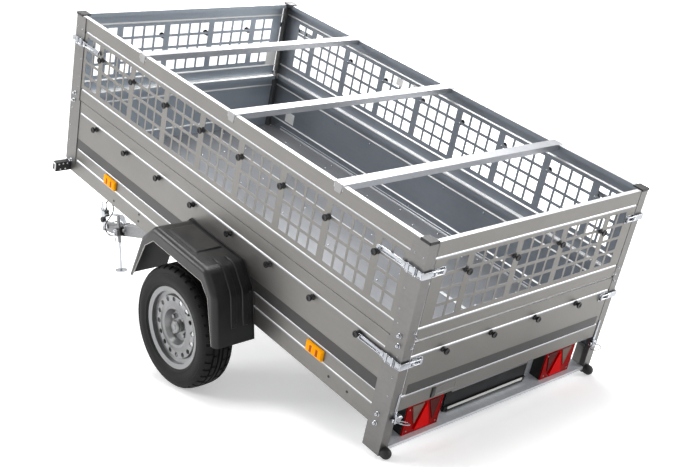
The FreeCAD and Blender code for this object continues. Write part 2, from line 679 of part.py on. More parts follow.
def plate_carrier():
    """Make the number plate carrier with its lower strip."""
    low = (f"{REAR} + sill_depth - 20", "-plate_width / 2", "sill_level + seat_gap")
    board = box("plate_board", low, ("6", "plate_width", "plate_height"))
    strip = box(
        "plate_strip", (f"{REAR} + sill_depth - 26", "-plate_width / 2", "sill_level + seat_gap + 4"),
        ("6", "plate_width", "20"),
    )
    arms = [
        box(
            f"plate_arm_{side_name(side)}",
            (f"{REAR} + sill_depth - 14", f"{side} * plate_width / 4 - 10", "sill_level + seat_gap + 30"),
            ("14 - seat_gap", "20", "30"),
        )
        for side in (1, -1)
    ]
    return fuse("plate_carrier", [board, strip] + arms)


def buffers():
    """Make the rubber buffers that the tipped bed stands on."""
    pair = []
    for side in (1, -1):
        y = f"{side} * (bed_width / 2 - post_end_leg / 2)"
        name = side_name(side)
        straight = rod(
            f"buffer_body_{name}", "x", (f"{REAR} - (buffer_reach - buffer_radius)", y, "buffer_level"),
            "buffer_radius", "buffer_reach - buffer_radius - seat_gap",
        )
        nose = rear_dome(f"buffer_nose_{name}", (f"-1 * {BUFFER_BACK}", y, "buffer_level"), "buffer_radius")
        pair.append(fuse(f"buffer_{name}", [straight, nose]))
    return group("rear_buffers", pair)


# --------------------------------------------------------------------------- mudguards and lights
def mudguards():
    """Mould the two mudguards: an arch with chamfered shoulders and a flange round each side."""
    guards = []
    top, knee, foot = "guard_top", "guard_knee", "guard_foot"
    crown = [
        ("-guard_half_foot", foot), ("-guard_half_knee", knee), ("-guard_half_top", top),
        ("guard_half_top", top), ("guard_half_knee", knee), ("guard_half_foot", foot),
    ]
    w = "guard_wall"
    hollow = [
        (f"-guard_half_foot + {w}", f"{foot} - 1"), (f"-guard_half_foot + {w}", foot),
        (f"-guard_half_knee + {w}", f"{knee} - {w} / 2"), (f"-guard_half_top + {w} / 2", f"{top} - {w}"),
        (f"guard_half_top - {w} / 2", f"{top} - {w}"), (f"guard_half_knee - {w}", f"{knee} - {w} / 2"),
        (f"guard_half_foot - {w}", foot), (f"guard_half_foot - {w}", f"{foot} - 1"),
    ]
    lip, thin = "guard_lip", "guard_lip_foot"
    opening = [
        (f"-guard_half_foot + {thin}", f"{foot} - 1"), (f"-guard_half_foot + {thin}", foot),
        (f"-guard_half_knee + ({lip} + {thin}) / 2 - 6", f"{knee} - {lip} / 2 + 6"),
        (f"-guard_half_top + {lip} / 4", f"{top} - {lip}"),
        (f"guard_half_top - {lip} / 4", f"{top} - {lip}"),
        (f"guard_half_knee - ({lip} + {thin}) / 2 + 6", f"{knee} - {lip} / 2 + 6"),
        (f"guard_half_foot - {thin}", foot), (f"guard_half_foot - {thin}", f"{foot} - 1"),
    ]
    for side in (1, -1):
        label = f"mudguard_{side_name(side)}"
        middle = f"{side} * ({SIDE_FACE} + seat_gap + guard_width / 2)"
        guard = prism(label, "XZ", crown, "guard_width", middle)
        pocket(guard, f"{label}_hollow", "XZ", hollow, f"guard_width - 2 * {w}", middle)
        guard.Tip = pocket(guard, f"{label}_opening", "XZ", opening)
        guards.append(guard)
    return guards


def markers():
    """Make the amber side markers and the white front position lamps."""
    ambers, bodies, lenses = [], [], []
    level = f"{BOARD_TOP} - 304"
    for side in (1, -1):
        name = side_name(side)
        face = f"{SIDE_FACE} + seat_gap" if side > 0 else f"-{SIDE_FACE} - seat_gap - 14"
        for where, station in (("rear", f"{REAR} + 380"), ("front", f"{REAR} + 1930")):
            ambers.append(box(f"marker_{where}_{name}", (station, face, level), ("100", "14", "46")))
        out = f"{SIDE_FACE} + seat_gap" if side > 0 else f"-{SIDE_FACE} - seat_gap - 78"
        low = "floor_level - skirt_depth"
        bodies.append(box(f"position_body_{name}", (f"{FRONT} - 44", out, low), ("28", "78", "45")))
        lenses.append(box(f"position_lens_{name}", (f"{FRONT} - 16 + seat_gap", out, low), ("16", "78", "45")))
    return [group("side_markers", ambers), group("position_lamp_bodies", bodies), group("position_lenses", lenses)]


def latches():
    """Make the over-centre latches: levers on the bed's corners and catches on the doors."""
    levers, gate_catches, rear_catches, front_catches = [], [], [], []
    low_level = f"({BOARD_TOP} - 105)"
    high_level = f"({RIM_TOP} - 140)"
    for side in (1, -1):
        name = side_name(side)
        for where, end, level in (("low", -1, low_level), ("high", -1, high_level), ("front", 1, high_level)):
            face = REAR if end < 0 else FRONT
            out = "bed_width / 2 + seat_gap" if side > 0 else "-bed_width / 2 - seat_gap - 16"
            start = f"{face} + 8" if end < 0 else f"{face} - 8 - 220"
            lever = box(f"lever_{where}_{name}", (start, out, f"{level}"), ("220", "16", "36"))
            edge = "bed_width / 2 - post_end_leg + moving_gap" if side > 0 else "-bed_width / 2 - seat_gap - 16"
            strap_x = f"{face} - seat_gap - 10" if end < 0 else f"{face} + seat_gap"
            strap = box(
                f"strap_{where}_{name}", (strap_x, edge, f"{level} + 4"),
                ("10", "post_end_leg - moving_gap + seat_gap + 16", "28"),
            )
            link_x = f"{face} - seat_gap - 10" if end < 0 else f"{face} - 8"
            link = box(f"link_{where}_{name}", (link_x, out, f"{level} + 4"), ("18 + seat_gap", "16", "28"))
            levers.append(fuse(f"latch_{where}_{name}", [lever, strap, link]))
            catch_x = f"{face} - seat_gap - 10" if end < 0 else f"{face} + seat_gap"
            catch_y = f"{DOOR_HALF} - 62" if side > 0 else f"-{DOOR_HALF}"
            catch = box(f"catch_{where}_{name}", (catch_x, catch_y, f"{level} + 2"), ("10", "62", "32"))
            {"low": gate_catches, "high": rear_catches, "front": front_catches}[where].append(catch)
    return [
        group("latches", levers), group("tailgate_catches", gate_catches),
        group("rear_mesh_catches", rear_catches), group("front_mesh_catches", front_catches),
    ]


# ----------------------------------------------------------------------------------------- wheels
def wheels():
    """Turn the rims, tyres and hubs, drill the discs, and put one set on each side."""
    parts = {}
    half = "rim_half_width"
    seat = "(rim_radius - 17)"
    w = "rim_wall"
    rim_profile = [
        ("rim_radius", half), ("rim_radius", f"{half} - 4"), (seat, f"{half} - 9"), (seat, f"{half} - 26"),
        (f"{seat} - 18", f"{half} - 38"), (f"{seat} - 18", "-12"), (seat, "-28"), (seat, f"-{half} + 9"),
        ("rim_radius", f"-{half} + 4"), ("rim_radius", f"-{half}"), (f"{seat} - {w}", f"-{half} + 5"),
        (f"{seat} - {w}", "-26"), (f"{seat} - 18 - {w}", f"-12 + {w} / 2"),
        (f"{seat} - 18 - {w}", "disc_offset"), (f"{seat} - 26", "disc_offset + 16"),
        ("vent_circle + 12", "disc_offset + 26"), ("vent_circle - 14", "disc_offset + 26"),
        ("90", "disc_offset + 32"), ("82", "disc_offset + 28"), ("68", "disc_offset"), ("28", "disc_offset"),
        ("28", f"disc_offset + {w}"), ("66", f"disc_offset + {w}"), ("80", f"disc_offset + 28 + {w}"),
        ("91", f"disc_offset + 32 + {w}"), ("vent_circle - 13", f"disc_offset + 26 + {w}"),
        ("vent_circle + 13", f"disc_offset + 26 + {w}"), (f"{seat} - 18 - {w}", f"disc_offset + 16 + {w}"),
        (f"{seat} - {w}", f"{half} - 24"), (f"{seat} - {w}", f"{half} - 5"),
    ]
    gap = "seat_gap"
    tyre_profile = [
        (f"{seat} + {gap}", f"{half} - 11"), (f"{seat} + 12", f"{half} - 9"), ("rim_radius + 3", f"{half} - 4"),
        ("rim_radius + 14", f"{half} + 6"), ("tyre_radius - 48", "tyre_width / 2"),
        ("tyre_radius - 28", "tyre_width / 2 - 2"), ("tyre_radius - 10", "tyre_width / 2 - 10"),
        ("tyre_radius - 1", "tyre_width / 2 - 27"),
    ]
    mirrored = [(radius, f"-({across})") for radius, across in reversed(tyre_profile)]
    inside = [
        (f"{seat} + {gap}", f"-{half} + 23"), ("rim_radius", f"-{half} + 18"),
        ("tyre_radius - 48", "-tyre_width / 2 + tyre_wall"), ("tyre_radius - tyre_wall - 4", "-tyre_width / 2 + 28"),
        ("tyre_radius - tyre_wall - 4", "tyre_width / 2 - 28"), ("tyre_radius - 48", "tyre_width / 2 - tyre_wall"),
        ("rim_radius", f"{half} - 18"), (f"{seat} + {gap}", f"{half} - 23"),
    ]
    hub_profile = [
        (f"spindle_radius + running_gap", "-72"), ("hub_radius", "-72"), ("hub_radius", "disc_offset - 12"),
        ("hub_flange_radius", "disc_offset - 12"), ("hub_flange_radius", f"disc_offset - {gap}"),
        (f"27", f"disc_offset - {gap}"), ("27", "disc_offset + 18"), ("20", "disc_offset + 24"),
        ("0", "disc_offset + 24"), ("0", "disc_offset"), ("spindle_radius + running_gap", "disc_offset"),
    ]
    for side in (1, -1):
        name = side_name(side)
        rim_label = f"rim_{name}"
        rim = revolved(rim_label, rim_profile)
        drill = outline_circle(rim, f"{rim_label}_vent_outline", "vent_circle", "vent_radius")
        vent = rim.newObject("PartDesign::Pocket", f"{rim_label}_vent")
        vent.Profile = drill
        vent.Midplane = True
        vent.Type = "ThroughAll"
        ring = rim.newObject("PartDesign::PolarPattern", f"{rim_label}_vents")
        ring.Originals = [vent]
        ring.Axis = (drill, ["N_Axis"])
        ring.Angle = 360
        bind(ring, Occurrences="vent_holes")
        rim.Tip = ring
        tyre = revolved(f"tyre_{name}", tyre_profile + mirrored + inside)
        hub = revolved(f"hub_{name}", hub_profile)
        parts[side] = [rim, tyre, hub]
    return parts


def outline_circle(body, label, distance, radius):
    """Draw a circle in the plane across the y axis, at a distance from the axis."""
    sketch = body.newObject("Sketcher::SketchObject", label)
    origin_plane = [item for item in body.Origin.OriginFeatures if item.Role == "XZ_Plane"][0]
    sketch.AttachmentSupport = [(origin_plane, "")]
    sketch.MapMode = "FlatFace"
    sketch.addGeometry(Part.Circle(Vector(0, number(distance), 0), Vector(0, 0, 1), number(radius)))
    sketch.addConstraint(Sketcher.Constraint("PointOnObject", 0, 3, -2))
    for kind, arguments, expression in (
        ("DistanceY", (-1, 1, 0, 3), distance),
        ("Radius", (0,), radius),
    ):
        at = sketch.addConstraint(Sketcher.Constraint(kind, *arguments, number(expression)))
        sketch.setExpression(f"Constraints[{at}]", tie(expression))
    return sketch


# ---------------------------------------------------------------------------------------- drawbar
def drawbar():
    """Make the drawbar's tube with the sleeve that turns on the tipping pin."""
    half = "tube_size / 2"
    start = "sleeve_radius - 4"
    outside = rectangle((f"-{half}", f"-{half}"), (half, half))
    tube = prism("drawbar_body", "YZ", outside, f"tube_end - ({start})", f"(tube_end + {start}) / 2")
    tube.Tip = pocket(
        tube, "drawbar_hollow", "YZ",
        rectangle((f"-{half} + tube_wall", f"-{half} + tube_wall"), (f"{half} - tube_wall", f"{half} - tube_wall")),
    )
    sleeve = rod(
        "drawbar_sleeve", "y", ("0", f"-{half} - sleeve_proud", "0"), "sleeve_radius", "tube_size + 2 * sleeve_proud",
    )
    welded = fuse("drawbar_welded", [tube, sleeve])
    bore = rod("drawbar_bore", "y", ("0", "-tube_size", "0"), "pin_radius + running_gap", "2 * tube_size")
    return cut("drawbar_tube", welded, [bore])


def coupling():
    """Make the pressed coupling head with its ball socket, and its handle."""
    half = "tube_size / 2"
    width = "(2 * socket_radius + 14)"
    shoe = box(
        "coupling_shoe", ("tube_end - 110", f"-{half} - 4", f"{half} + seat_gap"), ("170", "tube_size + 8", "6"),
    )
    neck_plan = [
        ("tube_end + 1", f"-{half} + 6"), ("tube_end + 1", f"{half} + 6"), ("tube_end + 60", f"{half} + 6"),
        ("drawbar_reach", f"{half} + 20"), ("drawbar_reach", "ball_rise - 10"), ("drawbar_reach - 40", "-6"),
    ]
    neck = prism("coupling_neck", "XZ", neck_plan, width)
    cup = rod("coupling_cup", "z", ("drawbar_reach", "0", "ball_rise - 20"), f"{width} / 2", "20")
    dome = ball("coupling_dome", ("drawbar_reach", "0", "ball_rise"), f"{width} / 2")
    solid = fuse("coupling_solid", [shoe, neck, cup, dome])
    socket = ball("coupling_socket", ("drawbar_reach", "0", "ball_rise"), "socket_radius + ball_gap")
    mouth = rod(
        "coupling_mouth", "z", ("drawbar_reach", "0", "ball_rise - 80"), "socket_radius + ball_gap", "80",
    )
    trim = box("coupling_trim", ("drawbar_reach - 60", "-40", "ball_rise - 80"), ("120", "80", "60"))
    head = cut("coupling_head", solid, [socket, mouth, trim])
    grip_plan = [
        ("tube_end - 20", f"{half} + 6 + seat_gap"), ("tube_end + 6", f"{half} + 6 + seat_gap"),
        ("tube_end + 6", f"{half} + 30"), ("drawbar_reach - 30", f"{half} + 56"),
        ("drawbar_reach - 26", f"{half} + 66"), ("drawbar_reach - 40", f"{half} + 66"),
        ("tube_end - 20", f"{half} + 42"),
    ]
    grip = prism("coupling_handle", "XZ", grip_plan, "34")
    return [head, grip]


LEG_Y = "(tube_size / 2 + seat_gap + clamp_wall + leg_clamp_radius)"


def leg_clamp():
    """Make the clamp that holds the upright leg against the sloping drawbar."""
    plate = box(
        "clamp_plate", ("leg_reach - 30", "tube_size / 2 + seat_gap", "-26"), ("60", "clamp_wall + 2", "52"),
    )
    ring = cut(
        "clamp_ring",
        rod("clamp_outer", "z", ("0", "0", "-22"), "leg_clamp_radius", "44"),
        [rod("clamp_bore", "z", ("0", "0", "-23"), "leg_radius + seat_gap", "46")],
    )
    ring.Placement = Placement(Vector(), Rotation(Vector(0, 1, 0), -number(SLOPE)))
    ring.setExpression(".Placement.Rotation.Angle", tie(f"-1 * {SLOPE}"))
    place(ring, "leg_reach", LEG_Y, "0")
    return fuse("leg_clamp", [plate, ring])


def leg_parts():
    """Make the leg's outer tube and its sliding rod with the foot, in the ground frame's directions."""
    tube = cut(
        "leg_tube",
        rod("leg_outer", "z", ("0", "0", "leg_low"), "leg_radius", "leg_high - leg_low"),
        [rod("leg_bore", "z", ("0", "0", "leg_low - 1"), "leg_rod_radius + seat_gap", "leg_high - leg_low - 12")],
    )
    slide = fuse("leg_rod", [
        rod("rod_body", "z", ("0", "0", "5"), "leg_rod_radius", "leg_high - 40"),
        rod("rod_foot", "z", ("0", "0", "0"), "foot_radius", "6"),
    ])
    return [tube, slide]


# ------------------------------------------------------------------------------------- assembling
def seat_in_bed(thing):
    """Put a sub-part that is drawn in the bed frame onto the tipped bed."""
    thing.Placement = Placement(Vector(), Rotation(Vector(0, 1, 0), -number(TIP)))
    thing.setExpression(".Placement.Rotation.Angle", tie(f"-1 * {TIP}"))
    return place(thing, "frame_shift", "0", "tyre_radius")


def seat_on_drawbar(thing):
    """Put a sub-part that is drawn in the drawbar frame onto the resting drawbar."""
    thing.Placement = Placement(Vector(), Rotation(Vector(0, 1, 0), number(SLOPE)))
    thing.setExpression(".Placement.Rotation.Angle", tie(SLOPE))
    return place(thing, PIN_X, "0", PIN_Z)


sub_parts = []
for piece in (
    side_boards() + [front_board(), tailgate()] + mesh_side_panels()
    + [mesh_door("rear_mesh_panel", REAR, 1), mesh_door("front_mesh_panel", FRONT, -1)]
    + corner_posts() + crossbars() + [floor()] + underfloor() + [tipping_pin(), axle_beam(), rear_sill()]
    + rear_lamps() + [plate_carrier(), buffers()] + mudguards() + markers() + latches()
):
    sub_parts.append(seat_in_bed(piece))
for side, pieces in wheels().items():
    for piece in pieces:
        turned = "0" if side > 0 else "180"
        piece.Placement = Placement(Vector(), Rotation(Vector(0, 0, 1), number(turned)))
        sub_parts.append(place(piece, "frame_shift", f"{side} * track_half", "tyre_radius"))
for piece in [drawbar()] + coupling() + [leg_clamp()]:
    sub_parts.append(seat_on_drawbar(piece))
for piece in leg_parts():
    along = f"{PIN_X} + leg_reach * cos({SLOPE})"
    sub_parts.append(place(piece, along, LEG_Y, "0"))
doc.recompute()

# The model's origin is on the ground under the middle of its length.
whole = Part.makeCompound([piece.Shape for piece in sub_parts]).BoundBox
shift = -(whole.XMin + whole.XMax) / 2
dims.set(dims.getCellFromAlias("frame_shift"), f"{shift:.6f}")
doc.recompute()

failed = [item.Label for item in doc.Objects if {"Invalid", "Error"} & set(item.State)]
for piece in sub_parts:
    if piece.Shape.isNull() or not piece.Shape.isValid() or not piece.Shape.Solids:
        failed.append(piece.Label)
if failed:
    raise RuntimeError(f"these objects failed: {failed}")

os.makedirs("parts", exist_ok=True)
for piece in sub_parts:
    piece.Shape.exportStep(f"parts/{piece.Label}.step")
print(len(sub_parts), "sub-parts, tipped by", round(number(TIP), 2), "degrees, drawbar slope", round(number(SLOPE), 2))
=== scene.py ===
"""Looks of the tipping box trailer: finishes, small fittings, cords, studio and camera.

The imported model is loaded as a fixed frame. Everything is in metres. Three local seats are used, all with x forward,
y to the left and z up:

* bed seat: x = 0 is the rear face of the bed, z = 0 its top rim, and the floor is level;
* drawbar seat: the origin is the tipping pin, and x runs along the drawbar;
* ground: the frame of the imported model.
"""

import json
import logging
import math
from dataclasses import asdict, dataclass
from enum import Enum
from functools import cache
from typing import Callable, ClassVar, Iterable, Optional, Sequence, Union

import bmesh
import bpy
from mathutils import Euler, Matrix, Vector


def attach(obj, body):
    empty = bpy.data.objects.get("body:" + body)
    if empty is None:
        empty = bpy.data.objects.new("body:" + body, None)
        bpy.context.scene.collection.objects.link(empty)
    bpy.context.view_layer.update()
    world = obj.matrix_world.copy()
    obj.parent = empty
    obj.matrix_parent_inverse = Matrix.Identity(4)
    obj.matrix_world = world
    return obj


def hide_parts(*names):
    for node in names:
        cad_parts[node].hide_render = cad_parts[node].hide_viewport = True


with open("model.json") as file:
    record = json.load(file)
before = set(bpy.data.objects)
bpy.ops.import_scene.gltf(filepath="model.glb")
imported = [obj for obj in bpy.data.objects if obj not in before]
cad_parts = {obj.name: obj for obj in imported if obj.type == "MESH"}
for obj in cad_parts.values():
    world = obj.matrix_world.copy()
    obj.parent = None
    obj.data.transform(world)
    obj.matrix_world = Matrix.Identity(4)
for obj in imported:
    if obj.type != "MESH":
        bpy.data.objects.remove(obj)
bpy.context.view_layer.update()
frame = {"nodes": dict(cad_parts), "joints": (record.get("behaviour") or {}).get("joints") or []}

log = logging.getLogger("trailer")

Point = tuple[float, float, float]
Colour = tuple[float, float, float]
Line = Sequence[tuple[float, float]]
Step = tuple[float, ...]
Piece = bpy.types.Object
Material = bpy.types.Material
Tree = bpy.types.NodeTree
Socket = bpy.types.NodeSocket

BED_TIP = math.radians(16.22012509)
DRAWBAR_SLOPE = math.radians(7.173814)
BED_LENGTH = 2.404
SIDE_FACE = 0.6437
POST_FACE = 0.647
REAR_TO_AXIS = 1.125
RIM_TO_AXIS = 0.955
BALL_REACH = 1.785
MESH_ROW, BOARD_ROW = -0.143, -0.491
ROW_START, ROW_PITCH = 0.2285, 0.2745
QUARTER = math.pi / 2
SIDES = (1, -1)


class Body(str, Enum):
    """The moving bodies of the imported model."""

    DRAWBAR = "drawbar"
    BED = "bed"
    TAILGATE = "tailgate"
    REAR_DOOR = "rear_mesh_door"
    FRONT_DOOR = "front_mesh_door"
    WHEEL_LEFT = "wheel_left"
    WHEEL_RIGHT = "wheel_right"


class Slot(str, Enum):
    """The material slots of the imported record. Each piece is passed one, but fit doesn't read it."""

    AMBER = "amber_lens"
    BLACK_PAINT = "black_paint"
    BLACK_PLASTIC = "black_plastic"
    BLACK_RUBBER = "black_rubber"
    ZINC = "bright_zinc"
    CLEAR = "clear_lens"
    GALVANISED = "galvanised"
    RED = "red_lens"
    TYRE = "rubber_tyre"


JOINTS = {joint["name"]: joint for joint in frame["joints"]}
AXIS_X, _, AXIS_Z = JOINTS["wheel_left_spin"]["pos_m"]
BED_SEAT = (
    Matrix.Translation((AXIS_X, 0, AXIS_Z))
    @ Matrix.Rotation(-BED_TIP, 4, "Y")
    @ Matrix.Translation((-REAR_TO_AXIS, 0, RIM_TO_AXIS))
)
DRAWBAR_SEAT = Matrix.Translation(JOINTS["bed_tip"]["pos_m"]) @ Matrix.Rotation(DRAWBAR_SLOPE, 4, "Y")
GROUND = Matrix.Identity(4)


def side_word(side: int) -> str:
    """Return the word for the side at +y or -y."""
    return "left" if side > 0 else "right"


def outward(side: int) -> float:
    """Return the turn about the upright axis that points +y outwards on a side."""
    return 0.0 if side > 0 else math.pi


def facing(side: int) -> str:
    """Return the way that looks outwards on a side."""
    return "+y" if side > 0 else "-y"


def spot(x: float, y: float, z: float, turn: float = 0.0, size: float = 1.0) -> Matrix:
    """Return a place for a copy, turned about its upright axis and scaled."""
    return Matrix.Translation((x, y, z)) @ Matrix.Rotation(turn, 4, "Z") @ Matrix.Scale(size, 4)


# ---------------------------------------------------------------- hand tools


class Bench:
    """Modelling by hand: a primitive is added, then shaped in edit mode by operators."""

    @staticmethod
    def hold(piece: Optional[Piece] = None) -> None:
        """Leave edit mode, then select one piece alone and make it active, or select nothing.

        Args:
            piece: The piece, if there is one.
        """
        if bpy.context.object and bpy.context.object.mode != "OBJECT":
            bpy.ops.object.mode_set(mode="OBJECT")
        bpy.ops.object.select_all(action="DESELECT")
        if piece:
            piece.select_set(True)
            bpy.context.view_layer.objects.active = piece

    @staticmethod
    def settle(name: str) -> Piece:
        """Name the primitive just added and apply its place to its mesh."""
        piece = bpy.context.object
        piece.name = piece.data.name = name
        bpy.ops.object.transform_apply(location=True, rotation=True, scale=True)
        return piece

    @staticmethod
    def block(name: str, low: Point, high: Point) -> Piece:
        """Add a block between two opposite corners.

        Args:
            name: Name of the piece.
            low: One corner.
            high: The opposite corner, which may lie lower on an axis.

        Returns:
            The block, with its place in its mesh.
        """
        Bench.hold()
        centre = [(a + b) / 2 for a, b in zip(low, high)]
        size = [abs(b - a) for a, b in zip(low, high)]
        bpy.ops.mesh.primitive_cube_add(size=1, location=centre, scale=size)
        return Bench.settle(name)

    @staticmethod
    def barrel(name: str, centre: Point, radius: float, depth: float, axis: str = "y", sides: int = 6) -> Piece:
        """Add a round or many-sided bar about its centre.

        Args:
            name: Name of the piece.
            centre: Middle of the bar.
            radius: Its radius.
            depth: Its length.
            axis: The axis along which it runs, y or z.
            sides: Facets round it.

        Returns:
            The bar, with its place in its mesh.
        """
        Bench.hold()
        turn = (-QUARTER, 0, 0) if axis == "y" else (0, 0, 0)
        bpy.ops.mesh.primitive_cone_add(
            vertices=sides, radius1=radius, radius2=radius, depth=depth, location=centre, rotation=turn
        )
        return Bench.settle(name)

    @staticmethod
    def ball(name: str, centre: Point, radius: float, segments: int, rings: int) -> Piece:
        """Add a ball round a centre."""
        Bench.hold()
        bpy.ops.mesh.primitive_uv_sphere_add(segments=segments, ring_count=rings, radius=radius, location=centre)
        return Bench.settle(name)

    @staticmethod
    def ring(name: str, centre: Point, radius: float, thickness: float, turn: Point = (0, 0, 0)) -> Piece:
        """Add a round wire ring.

        Args:
            name: Name of the piece.
            centre: Middle of the ring.
            radius: Radius of the ring's middle line.
            thickness: Thickness of the wire.
            turn: Three angles by which the ring is turned.

        Returns:
            The ring, with its place in its mesh.
        """
        Bench.hold()
        bpy.ops.mesh.primitive_torus_add(
            major_radius=radius, minor_radius=thickness / 2, major_segments=36, minor_segments=10, location=centre,
            rotation=turn,
        )
        return Bench.settle(name)

    @staticmethod
    def thread(name: str, points: Sequence[Point], origin: Point = (0, 0, 0), closed: bool = False) -> Piece:
        """Draw a run of edges through points, and stay in edit mode with all of it selected.

        Args:
            name: Name of the piece.
            points: The points, about the origin.
            origin: Where the points are counted from.
            closed: Whether the run is closed and filled.

        Returns:
            The piece.
        """
        Bench.hold()
        bpy.ops.mesh.primitive_plane_add(size=0.01)
        piece = Bench.settle(name)
        bpy.ops.object.mode_set(mode="EDIT")
        bpy.ops.mesh.select_mode(type="VERT")
        bpy.ops.mesh.select_all(action="SELECT")
        bpy.ops.mesh.merge(type="CENTER")
        Bench.shift(tuple(a + b for a, b in zip(origin, points[0])))
        for old, new in zip(points, points[1:]):
            step = tuple(b - a for a, b in zip(old, new))
            bpy.ops.mesh.extrude_vertices_move(TRANSFORM_OT_translate={"value": step})
        bpy.ops.mesh.select_all(action="SELECT")
        if closed:
            bpy.ops.mesh.edge_face_add()
        return piece

    @staticmethod
    def lathe(name: str, line: Line, centre: Point = (0, 0, 0), steps: int = 18, smooth: float = 32.0) -> Piece:
        """Spin an outline of (radius, y) points round an axis along y, and clean it.

        Args:
            name: Name of the piece.
            line: The outline's points. It is closed if its last point is its first.
            centre: A point on the axis.
            steps: Steps round the axis.
            smooth: Angle under which faces are smoothed together, in degrees.

        Returns:
            The turned piece.
        """
        piece = Bench.thread(name, [(radius, along, 0) for radius, along in line], centre)
        bpy.ops.mesh.spin(steps=steps, angle=math.tau, center=centre, axis=(0, 1, 0))
        return Bench.done(piece, smooth)

    @staticmethod
    def band(name: str, points: Sequence[Point], width: float) -> Piece:
        """Draw a sheet through points.

        Args:
            name: Name of the piece.
            points: The points.
            width: The sheet's width along y.

        Returns:
            The sheet.
        """
        piece = Bench.thread(name, points)
        bpy.ops.mesh.extrude_edges_move(TRANSFORM_OT_translate={"value": (0, width, 0)})
        bpy.ops.object.mode_set(mode="OBJECT")
        return piece

    @staticmethod
    def pick(piece: Piece, test: Callable[[Vector, Vector], bool]) -> None:
        """Enter edit mode and select the faces that pass a test.

        Args:
            piece: The piece to work on.
            test: Takes a face's centre and normal.
        """
        if piece.mode != "EDIT":
            Bench.hold(piece)
            bpy.ops.object.mode_set(mode="EDIT")
        bpy.ops.mesh.select_mode(type="FACE")
        bpy.ops.mesh.select_all(action="DESELECT")
        mesh = bmesh.from_edit_mesh(piece.data)
        mesh.normal_update()
        for face in mesh.faces:
            if test(face.calc_center_median(), face.normal):
                face.select_set(True)
        bmesh.update_edit_mesh(piece.data)

    @staticmethod
    def work(piece: Piece, way: str, *steps: Step) -> None:
        """Select the faces that look one way and work on them in steps.

        Args:
            piece: The piece to work on.
            way: The way the faces look, such as "-x".
            steps: Pairs are an inset and its depth, triples an extrusion.
        """
        axis, sign = "xyz".index(way[1]), -1 if way[0] == "-" else 1
        Bench.pick(piece, lambda centre, normal: sign * normal[axis] > 0.9)
        for step in steps:
            if len(step) == 3:
                bpy.ops.mesh.extrude_region_move(TRANSFORM_OT_translate={"value": step})
            else:
                Bench.inset(*step)

    @staticmethod
    def inset(thickness: float, depth: float = 0.0, each: bool = False) -> None:
        """Inset the selected faces, together or each alone, and sink or raise them."""
        bpy.ops.mesh.inset(thickness=thickness, depth=depth, use_even_offset=True, use_individual=each)

    @staticmethod
    def swell(scale: Point, centre: Point) -> None:
        """Scale what is selected about a centre."""
        bpy.ops.transform.resize(value=scale, center_override=centre)

    @staticmethod
    def shift(offset: Point) -> None:
        """Move what is selected."""
        bpy.ops.transform.translate(value=offset)

    @staticmethod
    def done(piece: Piece, smooth: float = 30.0) -> Piece:
        """Merge doubled points, point the faces outwards and smooth the faces that meet under an angle.

        Args:
            piece: The piece.
            smooth: The angle in degrees.

        Returns:
            The same piece, in object mode.
        """
        Bench.hold(piece)
        bpy.ops.object.mode_set(mode="EDIT")
        bpy.ops.mesh.select_all(action="SELECT")
        bpy.ops.mesh.remove_doubles(threshold=0.00001)
        bpy.ops.mesh.normals_make_consistent(inside=False)
        bpy.ops.object.mode_set(mode="OBJECT")
        bpy.ops.object.shade_smooth_by_angle(angle=math.radians(smooth))
        return piece

    @staticmethod
    def modify(piece: Piece, kind: str, **values: object) -> Piece:
        """Add a modifier, set its values and apply it.

        Args:
            piece: The piece.
            kind: The modifier's kind.
            **values: Its settings.

        Returns:
            The same piece.
        """
        Bench.hold(piece)
        modifier = piece.modifiers.new(kind.lower(), kind)
        for name, value in values.items():
            setattr(modifier, name, value)
        bpy.ops.object.modifier_apply(modifier=modifier.name)
        return piece

    @staticmethod
    def soften(piece: Piece, width: float, segments: int = 2, angle: float = 30.0) -> Piece:
        """Round the edges that are sharper than an angle."""
        limit = math.radians(angle)
        return Bench.modify(piece, "BEVEL", width=width, segments=segments, limit_method="ANGLE", angle_limit=limit)

    @staticmethod
    def walled(piece: Piece, thickness: float, offset: float) -> Piece:
        """Give a sheet its thickness."""
        return Bench.modify(piece, "SOLIDIFY", thickness=thickness, offset=offset, use_even_offset=True)

    @staticmethod
    def finish(piece: Piece, width: float, segments: int = 2) -> Piece:
        """Clean a piece and round its edges."""
        return Bench.soften(Bench.done(piece), width, segments)

    @staticmethod
    def panel(
        name: str, low: Point, high: Point, way: str, steps: Sequence[Step], width: float, segments: int = 2
    ) -> Piece:
        """Model a block with one face worked in steps and its edges rounded.

        Args:
            name: Name of the piece.
            low: One corner.
            high: The opposite corner.
            way: The way the worked face looks.
            steps: Pairs are an inset and its depth, triples an extrusion.
            width: Width of the rounded edges.
            segments: Segments across them.

        Returns:
            The piece.
        """
        piece = Bench.block(name, low, high)
        Bench.work(piece, way, *steps)
        return Bench.finish(piece, width, segments)

    @staticmethod
    def twin(piece: Piece, name: str, matrix: Matrix) -> Piece:
        """Copy a piece with its own mesh.

        Args:
            piece: The piece to copy.
            name: Name of the copy.
            matrix: Moves, turns or mirrors the copy's mesh.

        Returns:
            The copy.
        """
        copy = piece.copy()
        copy.data = piece.data.copy()
        copy.name = copy.data.name = name
        copy.data.transform(matrix)
        if matrix.determinant() < 0:
            copy.data.flip_normals()
        bpy.context.scene.collection.objects.link(copy)
        return copy

    @staticmethod
    def joined(name: str, pieces: Sequence[Piece]) -> Piece:
        """Join pieces into one.

        Args:
            name: Name of the whole.
            pieces: The pieces.

        Returns:
            The whole.
        """
        Bench.hold(pieces[0])
        for piece in pieces:
            piece.select_set(True)
        if len(pieces) > 1:
            bpy.ops.object.join()
        whole = bpy.context.object
        whole.name = whole.data.name = name
        return whole

